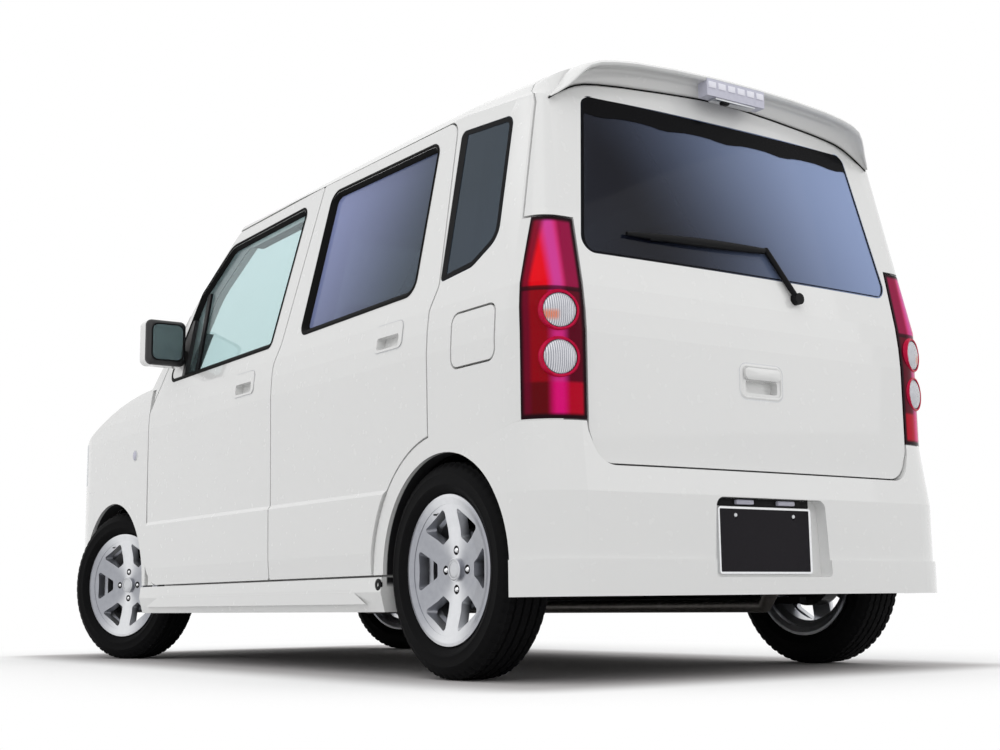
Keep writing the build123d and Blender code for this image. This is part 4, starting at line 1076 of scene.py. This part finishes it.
class KEI_OT_lamps(bpy.types.Operator):
    """Fit the lamps: round lenses, reflectors, side markers and the high stop lamp"""

    bl_idname = "kei.lamps"
    bl_label = "Lamps"

    # Round lenses of the tail lamps: heights, distance from the middle, the way they face, depth
    LEVELS = (("upper", 0.893), ("lower", 0.778))
    LENS_Y, LENS_FACE, LENS_SUNK = 0.648, (-0.94, 0.34), 0.006
    # Bezel of a lens: way outside the lens, height
    BEZEL = ((0.0005, 0.008), (0.005, 0.009), (0.0085, 0.004), (0.009, -0.014))
    MARKER_X, MARKER_Z, MARKER_RADIUS = 0.905, 0.760, 0.017
    MARKER_RING = ((0.017, 0.002), (0.0185, 0.0026), (0.0205, 0.0015), (0.021, -0.004))
    # Columns: name, y, z, radius, finish
    HEADLAMPS = (("main", 0.535, 0.755, 0.052, "chrome"), ("turn", 0.445, 0.742, 0.028, "amber"))
    # Bowl of a headlamp: share of the radius, height
    BOWL = (
        (0.0, 0.0015), (0.3, 0.0035), (0.34, 0.0010), (0.72, 0.0028),
        (0.94, 0.0052), (1.0, 0.0045), (1.0, -0.010),
    )
    CELLS, CELL_SIZE, CELL_DROP, CELL_LIFT = 6, (0.004, 0.027, 0.018), 0.017, 0.0005
    BRACKET_SIZE, BRACKET_DROP = (0.030, 0.150, 0.007), 0.003
    NOZZLE_SIZE, NOZZLE_PLACE = (0.018, 0.026, 0.010), (-0.006, 0.034, -0.006)

    def execute(self, context):
        lamp = Surface("tail_lamps")
        for side, sign in SIDES:
            for level, height in self.LEVELS:
                self.lens(f"{level}_{side}", lamp, sign, height, context.scene.kei_trim.lens)
            self.marker(side, sign)
            self.headlamp(side, sign)
        self.stop_cells()
        return {"FINISHED"}

    def domed(self, radius, base, rise, sunk, steps):
        """Profile of a round lens from its crown to its foot."""
        turns = np.linspace(0, math.pi / 2, steps)
        return [(radius * math.sin(a), base + rise * math.cos(a)) for a in turns] + [(radius, -sunk)]

    def lens(self, name, lamp, sign, height, radius):
        """Round clear lens in a red bezel on the rear face of a tail lamp."""
        back, out = self.LENS_FACE
        face = Vector((back, sign * out, 0.0)).normalized()
        matrix = frame_at(lamp.behind(sign * self.LENS_Y, height) - face * self.LENS_SUNK, face)
        dome = turned(self.domed(radius, 0.004, 0.011, 0.012, 10), 48)
        piece(f"lens_{name}", *dome, "body", "clear_lens", "clear_lens", 50.0, matrix)
        ring = turned([(radius + out, rise) for out, rise in self.BEZEL], 48)
        piece(f"bezel_{name}", *ring, "body", "red_ring", "red_lens", 50.0, matrix)

    def marker(self, side, sign):
        """Small round side lamp on the front wing."""
        start = (self.MARKER_X, sign * BESIDE, self.MARKER_Z)
        matrix = frame_at(*Surface("front_fenders").hit(start, (0, -sign, 0)))
        dome = turned(self.domed(self.MARKER_RADIUS, 0.001, 0.006, 0.004, 8), 32)
        piece(f"side_marker_{side}", *dome, "body", "stop_lens", "clear_lens", 50.0, matrix)
        ring = turned(self.MARKER_RING, 32)
        piece(f"marker_ring_{side}", *ring, "body", "satin", "clear_lens", 50.0, matrix)

    def headlamp(self, side, sign):
        """Round reflector and a turn lamp seen at the front of each headlamp."""
        lamp = Surface("headlamps")
        for label, y, z, radius, look in self.HEADLAMPS:
            matrix = frame_at(*lamp.hit((-BEHIND, sign * y, z), (-1, 0, 0)))
            bowl = turned([(radius * share, rise) for share, rise in self.BOWL], 48)
            piece(f"headlamp_{label}_{side}", *bowl, "body", look, "clear_lens", 40.0, matrix)

    def stop_cells(self):
        """Row of bright cells on the high stop lamp, its bracket and the washer's nozzle."""
        low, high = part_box("high_mount_lamp")
        width = high.y - low.y
        shifts = []
        for i in range(self.CELLS):
            y = low.y + width * (i + 0.5) / self.CELLS
            shifts.append(Vector((low.x - self.CELL_LIFT, y, high.z - self.CELL_DROP)))
        cells = repeated(*brick(self.CELL_SIZE, 0.0015, 2), shifts)
        piece("stop_cells", *cells, "tailgate", "stop_cell", "clear_lens")
        under = Vector(((low.x + high.x) / 2, 0.0, low.z - self.BRACKET_DROP))
        bracket = brick(self.BRACKET_SIZE, 0.002, 2)
        place = Matrix.Translation(under)
        piece("stop_bracket", *bracket, "tailgate", "satin", "black_plastic", 40.0, place)
        nozzle = brick(self.NOZZLE_SIZE, 0.004, 3)
        place = Matrix.Translation(under + Vector(self.NOZZLE_PLACE))
        piece("washer_nozzle", *nozzle, "tailgate", "black", "black_plastic", 40.0, place)


class KEI_OT_trim(bpy.types.Operator):
    """Fit handles, mirrors, plate frame, wiper and small trim"""

    bl_idname = "kei.trim"
    bl_label = "Trim"

    # Handles: door, x, z; then width, height, corner radius
    HANDLES = (("front_door", -0.035, 0.912), ("rear_door", -0.960, 0.925))
    HANDLE_SIZE = (0.151, 0.077, 0.0195)
    # Rows of a band: growth of its outline, lift
    HANDLE_LINE = ((0.0004, 0.0006), (0.0022, 0.0004))
    # Mirror glass: y and z of its middle; width, height, corner radius; rows of growth and x
    MIRROR_Y, MIRROR_Z = 0.775, 1.130
    MIRROR_SIZE = (0.122, 0.136, 0.026)
    MIRROR_RIM = ((0.0, 0.499), (0.0, 0.4965), (-0.003, 0.4955), (-0.005, 0.4965))
    MIRROR_INSET, MIRROR_X, MIRROR_CROWN = -0.0045, 0.4968, 0.4962
    # The mirror's painted shell lies outside this y and ahead of this x
    SHELL_Y, SHELL_X, SHELL_EDGE = 0.697, 0.522, 0.002
    # Plug in a skirt's rear end: x, z, turned profile
    PLUG_X, PLUG_Z = -0.925, 0.246
    PLUG = ((0.006, 0.0), (0.006, 0.003), (0.012, 0.003), (0.016, 0.0015), (0.016, -0.004))
    # Band along a skirt: front x, rear x and z of its lower and upper edge
    BAND_LOW, BAND_HIGH = (0.735, -0.862, 0.196), (0.610, -0.775, 0.234)
    BAND_STEPS = 24
    # The blind cover is larger than the fuel flap by this, and lies outside it by the other
    OVERLAP, COVER_LIFT = 0.012, 0.0004
    # Handle of the tailgate and its grip: z; width, height, corner radius; rows of growth and lift
    GATE_Z, GATE_SIZE = 0.760, (0.150, 0.088, 0.020)
    GATE_FRAME = ((0.003, 0.0), (0.0, 0.0025), (-0.004, 0.0025), (-0.006, 0.0008))
    GATE_LINE = ((0.0032, 0.0005), (0.0052, 0.0005))
    GRIP_Z, GRIP_SIZE, GRIP_CROWN = 0.780, (0.128, 0.032, 0.012), 0.0125
    GRIP_ROWS = ((0.0, 0.0008), (0.0, 0.009), (-0.004, 0.012))
    # Plate: margin and corner radius of its frame, hood, screws and lamps
    PLATE_MARGIN, PLATE_CORNER, PLATE_EDGE = 0.006, 0.008, 0.002
    HOOD_SIZE, HOOD_BACK, HOOD_RISE = (0.010, 0.334, 0.024), 0.002, 0.0165
    SCREW = ((0.0, 0.002), (0.004, 0.0016), (0.0055, 0.0), (0.0055, -0.003))
    SCREW_Y, SCREW_DROP = 0.105, 0.018
    PLATE_LAMP_SIZE, PLATE_LAMP_PLACE = (0.022, 0.062, 0.012), (0.004, 0.075, 0.0155)
    # Wiper blade: y of its ends, a height, the y where it has that height, and its slope
    WIPER_ENDS, WIPER_Z, WIPER_Y, WIPER_SLOPE = (-0.06, 0.42), 1.128, -0.02, -0.03
    WIPER_STEPS = 16

    def execute(self, context):
        for side, sign in SIDES:
            for door, x, z in self.HANDLES:
                self.handle(door, side, sign, x, z)
            self.mirror(side, sign, context.scene.kei_paint)
            self.skirt_end(side, sign)
            self.skirt_panel(side, sign)
        self.blind_cover()
        self.gate_handle()
        self.plate()
        self.wiper()
        return {"FINISHED"}

    def handle(self, door, side, sign, x, z):
        """Shut line round the flap of a door handle."""
        body = f"{door}_{side}"
        skin = Surface(body, f"{door}_frame_{side}")
        shape = [(x + a, z + b) for a, b in round_rect(*self.HANDLE_SIZE)]
        loops = []
        for grow, lift in self.HANDLE_LINE:
            loops.append([skin.beside(a, b, sign, lift) for a, b in grown(shape, grow)])
        loops_piece(f"handle_line_{body}", loops, body, "satin", "body_paint", 60.0)

    def mirror(self, side, sign, looks):
        """Mirror glass, black rim and the finish of the shell and its foot."""
        made = Shader(f"mirror_shell_{side}", Coat_Roughness=0.03)
        x, y, z = made.place().parts()
        shell = y.math("ABSOLUTE").step(self.SHELL_Y, self.SHELL_Y + self.SHELL_EDGE)
        shell = shell * x.step(self.SHELL_X, self.SHELL_X + self.SHELL_EDGE)
        white = made.colour(made.cells(600.0).step(0.1, 0.8), tuple(looks.pearl), tuple(looks.shade))
        black = made.colour(made.noise(500.0), (0.008, 0.008, 0.009), (0.022, 0.022, 0.024))
        made.drive(
            Base_Color=made.colour(shell, black, white),
            Roughness=0.4 - shell * 0.18,
            Coat_Weight=shell * 0.9,
        )
        coat(f"mirror_{side}", made.material)
        outline = round_rect(*self.MIRROR_SIZE)
        loops = []
        for grow, back in (*self.MIRROR_RIM, (self.MIRROR_INSET, self.MIRROR_X)):
            ring = grown(outline, grow)
            loops.append([Vector((back, sign * (self.MIRROR_Y + a), self.MIRROR_Z + b)) for a, b in ring])
        glass_ring = loops.pop()
        body = f"front_door_{side}"
        loops_piece(f"mirror_rim_{side}", loops, body, "black", "black_plastic", 50.0)
        middle = Vector((self.MIRROR_CROWN, sign * self.MIRROR_Y, self.MIRROR_Z))
        piece(f"mirror_glass_{side}", glass_ring + [middle], fan(0, len(glass_ring)), body, "mirror_glass")

    def skirt_end(self, side, sign):
        """Dark plug with a hole at the rear end of each side skirt."""
        matrix = Matrix.Rotation(-sign * math.pi / 2, 4, "X")
        matrix.translation = Surface("side_skirts").beside(self.PLUG_X, self.PLUG_Z, sign)
        plug = turned(self.PLUG, 28)
        piece(f"skirt_plug_{side}", *plug, "body", "black", "black_plastic", 40.0, matrix)

    def skirt_panel(self, side, sign):
        """Raised band along a side skirt; its face leans up."""
        skin = Surface("side_skirts")
        edges = []
        for front, rear, z in (self.BAND_LOW, self.BAND_HIGH):
            edges.append([(x, z) for x in np.linspace(front, rear, self.BAND_STEPS)])
        rows = ((edges[0], 0.003, 0.0), (edges[0], 0.0, 0.009), (edges[1], 0.0, 0.0004))
        verts = [skin.beside(x, z - drop, sign, lift) for edge, drop, lift in rows for x, z in edge]
        faces = grid_faces(len(rows), self.BAND_STEPS)
        piece(f"skirt_panel_{side}", verts, faces, "body", "pearl", "body_paint", 30.0)

    def blind_cover(self):
        """Fixed panel over the pocket that the right body side shares with the left one's fuel flap."""
        low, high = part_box("fuel_flap")
        middle, size = (low + high) / 2, high - low
        wide = (size.x + self.OVERLAP) / size.x
        tall = (size.z + self.OVERLAP) / size.z
        mesh = NODES["fuel_flap"].data
        verts = []
        for v in mesh.vertices:
            x = middle.x + (v.co.x - middle.x) * wide
            verts.append((x, -v.co.y - self.COVER_LIFT, middle.z + (v.co.z - middle.z) * tall))
        faces = [tuple(p.vertices) for p in mesh.polygons]
        piece("blind_cover_right", verts, faces, "body", "pearl", "body_paint")

    def gate_loops(self, skin, shape, height, rows):
        """Loops on the tailgate, each grown and lifted by its own amounts."""
        return [[skin.behind(a, height + b, lift) for a, b in grown(shape, grow)] for grow, lift in rows]

    def gate_handle(self):
        """Rounded square recess with its grip in the tailgate."""
        skin = Surface("tailgate")
        shape = round_rect(*self.GATE_SIZE)
        loops = self.gate_loops(skin, shape, self.GATE_Z, self.GATE_FRAME)
        loops_piece("gate_handle_frame", loops, "tailgate", "pearl", "body_paint", 60.0)
        rows = self.gate_loops(skin, round_rect(*self.GRIP_SIZE), self.GRIP_Z, self.GRIP_ROWS)
        size = len(rows[0])
        verts = [p for row in rows for p in row] + [skin.behind(0.0, self.GRIP_Z, self.GRIP_CROWN)]
        faces = grid_faces(len(rows), size, close_columns=True) + fan((len(rows) - 1) * size, size)
        piece("gate_handle_grip", verts, faces, "tailgate", "pearl", "body_paint", 50.0)
        line = self.gate_loops(skin, shape, self.GATE_Z, self.GATE_LINE)
        loops_piece("gate_handle_line", line, "tailgate", "satin", "body_paint", 60.0)

    def plate(self):
        """Silver edge, hood and two screws of the blank plate, and the lamps above it."""
        low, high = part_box("number_plate")
        margin = self.PLATE_MARGIN
        shape = round_rect(high.y - low.y + margin, high.z - low.z + margin, self.PLATE_CORNER)
        middle = (low.z + high.z) / 2
        edge = low.x - self.PLATE_EDGE
        loops = []
        for grow, x in ((0.0, high.x), (0.0, edge), (-0.005, edge), (-0.006, low.x - 0.0004)):
            loops.append([Vector((x, a, middle + b)) for a, b in grown(shape, grow)])
        loops_piece("plate_frame", loops, "body", "chrome", "plate_metal", 40.0)
        place = Matrix.Translation((high.x + self.HOOD_BACK, 0.0, high.z + self.HOOD_RISE))
        hood = brick(self.HOOD_SIZE, 0.004)
        piece("plate_hood", *hood, "body", "black", "black_plastic", 40.0, place)
        screw = turned(self.SCREW, 16)
        lamp = brick(self.PLATE_LAMP_SIZE, 0.003)
        ahead, beside, above = self.PLATE_LAMP_PLACE
        for side, sign in SIDES:
            matrix = Matrix.Rotation(-math.pi / 2, 4, "Y")
            matrix.translation = Vector((low.x, sign * self.SCREW_Y, high.z - self.SCREW_DROP))
            piece(f"plate_screw_{side}", *screw, "body", "satin", "plate_metal", 40.0, matrix)
            place = Matrix.Translation((low.x + ahead, sign * beside, high.z + above))
            piece(f"plate_lamp_{side}", *lamp, "body", "stop_lens", "clear_lens", 40.0, place)

    def wiper(self):
        """Blade along the outer half of the rear wiper arm."""
        skin = Surface("tailgate_glass")
        path = []
        for y in np.linspace(*self.WIPER_ENDS, self.WIPER_STEPS):
            path.append(skin.behind(y, self.WIPER_Z + self.WIPER_SLOPE * (y - self.WIPER_Y), 0.010))
        shares = np.linspace(0.16, 0.98, self.WIPER_STEPS)
        radii = [0.004 + 0.008 * math.sin(math.pi * t) ** 0.8 for t in shares]
        piece("wiper_blade", *tube(path, radii, 10), "tailgate", "black", "black_plastic", 50.0)


class KEI_OT_cabin(bpy.types.Operator):
    """Upholster the cabin: seats with crowned cushions and head rests"""

    bl_idname = "kei.cabin"
    bl_label = "Cabin"

    # Columns: name, size, place on the left, lean in degrees, crown
    FRONT = (
        ("front_cushion", (0.52, 0.46, 0.15), (0.12, 0.33, 0.415), 4.0, 0.030),
        ("front_back", (0.58, 0.45, 0.12), (-0.145, 0.33, 0.735), -73.0, 0.024),
        ("front_headrest", (0.15, 0.25, 0.085), (-0.222, 0.33, 1.105), -78.0, 0.016),
    )
    REAR = (
        ("rear_back", (0.47, 0.485, 0.09), (-0.905, 0.247, 0.762), -73.0, 0.02),
        ("rear_headrest", (0.12, 0.23, 0.07), (-0.975, 0.25, 1.06), -80.0, 0.014),
    )
    BENCH = ("rear_cushion", (0.43, 0.98, 0.14), (-0.665, 0.0, 0.445), 4.0, 0.022)
    SEAT_Y, PLINTH_SIZE, PLINTH_X, PLINTH_Z = 0.33, (0.46, 0.40, 0.085), 0.11, 0.290
    # Posts of a head rest: name, y from the seat's middle; then x and z of their ends, radius
    POSTS = (("a", -0.05), ("b", 0.05))
    POST_TOP, POST_FOOT, POST_RADIUS = (-0.205, 1.06), (-0.185, 0.985), 0.006
    # Cushion: power of its rounded box, place of the seams along x and y, their width and depth
    POWER, SEAM_X, SEAM_Y, SEAM_WIDTH, SEAM_DEPTH = 7, 0.58, 0.62, 0.05, 0.010
    FILL = 0.85

    def execute(self, context):
        front = []
        for side, sign in SIDES:
            front += self.cushions(self.FRONT, side, sign)
            y = self.SEAT_Y * sign
            place = Matrix.Translation((self.PLINTH_X, y, self.PLINTH_Z))
            plinth = brick(self.PLINTH_SIZE, 0.02)
            piece(f"front_plinth_{side}", *plinth, "body", "cabin", "cabin_plastic", 40.0, place)
            for label, shift in self.POSTS:
                ends = [(x, y + shift, z) for x, z in (self.POST_TOP, self.POST_FOOT)]
                post = tube(ends, self.POST_RADIUS, 10)
                piece(f"headrest_post_{side}_{label}", *post, "body", "chrome", "seat_cloth")
        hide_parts("front_seats")
        bench = self.cushion(*self.BENCH)
        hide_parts("rear_seat")
        for side, sign in SIDES:
            self.cushions(self.REAR, side, sign)
        return {"FINISHED"}

    def cushions(self, rows, side, sign):
        """The cushions of one side."""
        made = []
        for name, size, (x, y, z), lean, crown in rows:
            made.append(self.cushion(f"{name}_{side}", size, (x, y * sign, z), lean, crown))
        return made

    def seam(self, way, middle):
        return self.SEAM_DEPTH * math.exp(-((abs(way) - middle) / self.SEAM_WIDTH) ** 2)

    def cushion(self, name, size, place, lean, crown):
        """Stuffed form with crowned faces, a sewn seam and soft corners."""
        half = Vector(size) / 2
        shell = bmesh.new()
        bmesh.ops.create_cube(shell, size=2.0)
        bmesh.ops.subdivide_edges(shell, edges=shell.edges[:], cuts=9, use_grid_fill=True)
        for v in shell.verts:
            q = v.co / sum(abs(c) ** self.POWER for c in v.co) ** (1 / self.POWER)
            swell = (1 - q.x * q.x) * (1 - q.y * q.y)
            tuck = self.seam(q.x, self.SEAM_X) if abs(q.y) < self.SEAM_Y else 0.0
            tuck += self.seam(q.y, self.SEAM_Y)
            rise = (crown * swell - tuck * min(1.0, swell * 6)) * (1 if q.z > 0 else -0.3 if q.z < 0 else 0)
            v.co = Vector((q.x * half.x, q.y * half.y, q.z * (half.z - crown * 0.5) + rise * abs(q.z)))
        matrix = Matrix.Translation(place) @ Matrix.Rotation(math.radians(lean), 4, "Y")
        made = piece(name, *taken(shell), "body", "seat", "seat_cloth", 180.0, matrix)
        smooth = made.modifiers.new("smooth", "SUBSURF")
        smooth.levels = 1
        smooth.render_levels = 1
        return made


class KEI_OT_stage(bpy.types.Operator):
    """Set the studio: floor, dome, key light and the camera of the photo"""

    bl_idname = "kei.stage"
    bl_label = "Stage"

    EYE = (-4.4001, 2.7635, 0.1940)
    YAW, PITCH, ROLL = math.radians(-35.081), math.radians(8.849), math.radians(-0.721)
    LENS, SENSOR, FAR = 52.61, 36.0, 300.0
    # Columns: name, place, size, share of the key's power, target
    LAMPS = (
        ("key", (-3.4, 3.6, 4.2), (4.0, 4.0), 1.0, (-0.3, 0.2, 0.7)),
        ("edge", (-5.0, -3.2, 2.6), (2.5, 3.0), 0.35, (-1.2, -0.2, 0.8)),
    )
    # Half length and half width of the car's place on the floor
    SHADE_X, SHADE_Y = 1.65, 0.75

    def execute(self, context):
        settings = context.scene.kei_stage
        self.floor(settings)
        self.dome(context.scene, settings)
        for name, place, size, share, target in self.LAMPS:
            self.lamp(name, place, size, settings.key * share, target)
        self.camera(context.scene)
        context.scene.view_settings.view_transform = "Standard"
        return {"FINISHED"}

    def floor(self, settings):
        """Floor with a painted shadow that darkens it under the car; it turns to plain white away from it.
        """
        size = settings.floor
        mesh = bpy.data.meshes.new("floor")
        corners = [(-size, -size, 0), (size, -size, 0), (size, size, 0), (-size, size, 0)]
        mesh.from_pydata(corners, [], [(0, 1, 2, 3)])
        made = bpy.data.objects.new("floor", mesh)
        bpy.context.scene.collection.objects.link(made)
        look = Shader("floor", Specular_IOR_Level=0.0)
        seen = self.seen(look)
        fleck = look.noise(30.0, 3.0)
        white = look.colour(fleck, (0.94, 0.94, 0.94), (0.97, 0.97, 0.97))
        x, y, z = look.place().parts()
        ahead = (x.math("ABSOLUTE") - self.SHADE_X).math("MAXIMUM", 0.0)
        beside = (y.math("ABSOLUTE") - self.SHADE_Y).math("MAXIMUM", 0.0)
        reach = (ahead * ahead + beside * beside).math("SQRT")
        away = reach.step(0.15, 1.3)
        # Painted shadow: the floor's colour darkens towards and under the car's place
        white = look.colour(reach.step(0.28, 0.0) * 0.75, white, (0.40, 0.38, 0.38))
        look.drive(Base_Color=look.colour(seen, (settings.bounce,) * 3, white), Roughness=0.6 + fleck * 0.1)
        look.blend(seen * away, {
            "Base Color": (0, 0, 0, 1),
            "Specular IOR Level": 0.0,
            "Emission Color": (1, 1, 1, 1),
            "Emission Strength": 1.0,
        })
        look.material.cycles.emission_sampling = "NONE"
        mesh.materials.append(look.material)

    def seen(self, shader):
        """1 for what the camera sees, straight on or by way of gloss and glass."""
        rays = shader.node("ShaderNodeLightPath", {})
        made = Val(shader, rays.outputs["Is Camera Ray"])
        for kind in ("Is Glossy Ray", "Is Transmission Ray"):
            made = made.math("MAXIMUM", Val(shader, rays.outputs[kind]))
        return made

    def dome(self, scene, settings):
        """White all round to the camera; its light is stronger behind the car than behind the camera."""
        world = bpy.data.worlds.new("studio")
        scene.world = world
        world.use_nodes = True
        back = world.node_tree.nodes["Background"]
        back.inputs["Color"].default_value = (1.0, 1.0, 1.0, 1.0)
        shader = Shader.of_tree(world.node_tree)
        way = Val(shader, shader.node("ShaderNodeTexCoord", {}).outputs["Generated"])
        front = shader.dot(way, self.ahead()).step(-0.15, 0.55)
        top = way.parts()[2].step(0.25, 0.95)
        light = settings.back + front * (settings.dome - settings.back) + top * settings.top
        shader.plug(back.inputs["Strength"], light + self.seen(shader) * (1.0 - light))

    def lamp(self, name, place, size, power, target):
        data = bpy.data.lights.new(name, "AREA")
        data.shape = "RECTANGLE"
        data.size, data.size_y = size
        data.energy = power
        made = bpy.data.objects.new(name, data)
        made.location = place
        made.rotation_mode = "QUATERNION"
        made.rotation_quaternion = (Vector(target) - Vector(place)).to_track_quat("-Z", "Y")
        bpy.context.scene.collection.objects.link(made)

    def ahead(self):
        """Way that the camera looks."""
        flat = math.cos(self.PITCH)
        return Vector((math.cos(self.YAW) * flat, math.sin(self.YAW) * flat, math.sin(self.PITCH)))

    def camera(self, scene):
        ahead = self.ahead()
        right = Vector((math.sin(self.YAW), -math.cos(self.YAW), 0))
        up = right.cross(ahead)
        across = right * math.cos(self.ROLL) + up * math.sin(self.ROLL)
        upward = up * math.cos(self.ROLL) - right * math.sin(self.ROLL)
        data = bpy.data.cameras.new("photo")
        data.lens = self.LENS
        data.sensor_width = self.SENSOR
        data.dof.use_dof = False
        data.clip_end = self.FAR
        made = bpy.data.objects.new("photo", data)
        matrix = Matrix((across, upward, -ahead)).transposed().to_4x4()
        matrix.translation = Vector(self.EYE)
        made.matrix_world = matrix
        scene.collection.objects.link(made)
        scene.camera = made


class KEI_PT_panel(bpy.types.Panel):
    """Settings and steps of the car's looks"""

    bl_idname = "KEI_PT_panel"
    bl_label = "Kei car"
    bl_space_type = "VIEW_3D"
    bl_region_type = "UI"
    bl_category = "Kei car"

    def draw(self, context):
        for name, group, kind in SETTINGS:
            box = self.layout.box()
            box.label(text=kind)
            for key in group.__annotations__:
                box.prop(getattr(context.scene, name), key)
        for operator in STEPS:
            self.layout.operator(operator.bl_idname)


SETTINGS = (
    ("kei_paint", KeiPaint, "Paint"),
    ("kei_tyre", KeiTyre, "Tyres"),
    ("kei_trim", KeiTrim, "Trim"),
    ("kei_stage", KeiStage, "Stage"),
)
STEPS = (
    KEI_OT_panels, KEI_OT_roof, KEI_OT_panes, KEI_OT_wheels,
    KEI_OT_lamps, KEI_OT_trim, KEI_OT_cabin, KEI_OT_stage,
)


def register():
    for name, group, kind in SETTINGS:
        bpy.utils.register_class(group)
        setattr(bpy.types.Scene, name, PointerProperty(type=group))
    for step in STEPS:
        bpy.utils.register_class(step)
    bpy.utils.register_class(KEI_PT_panel)


def unregister():
    bpy.utils.unregister_class(KEI_PT_panel)
    for step in reversed(STEPS):
        bpy.utils.unregister_class(step)
    for name, group, kind in reversed(SETTINGS):
        delattr(bpy.types.Scene, name)
        bpy.utils.unregister_class(group)


def main():
    register()
    for step in STEPS:
        group, name = step.bl_idname.split(".")
        getattr(getattr(bpy.ops, group), name)()


if __name__ == "__main__":
    main()
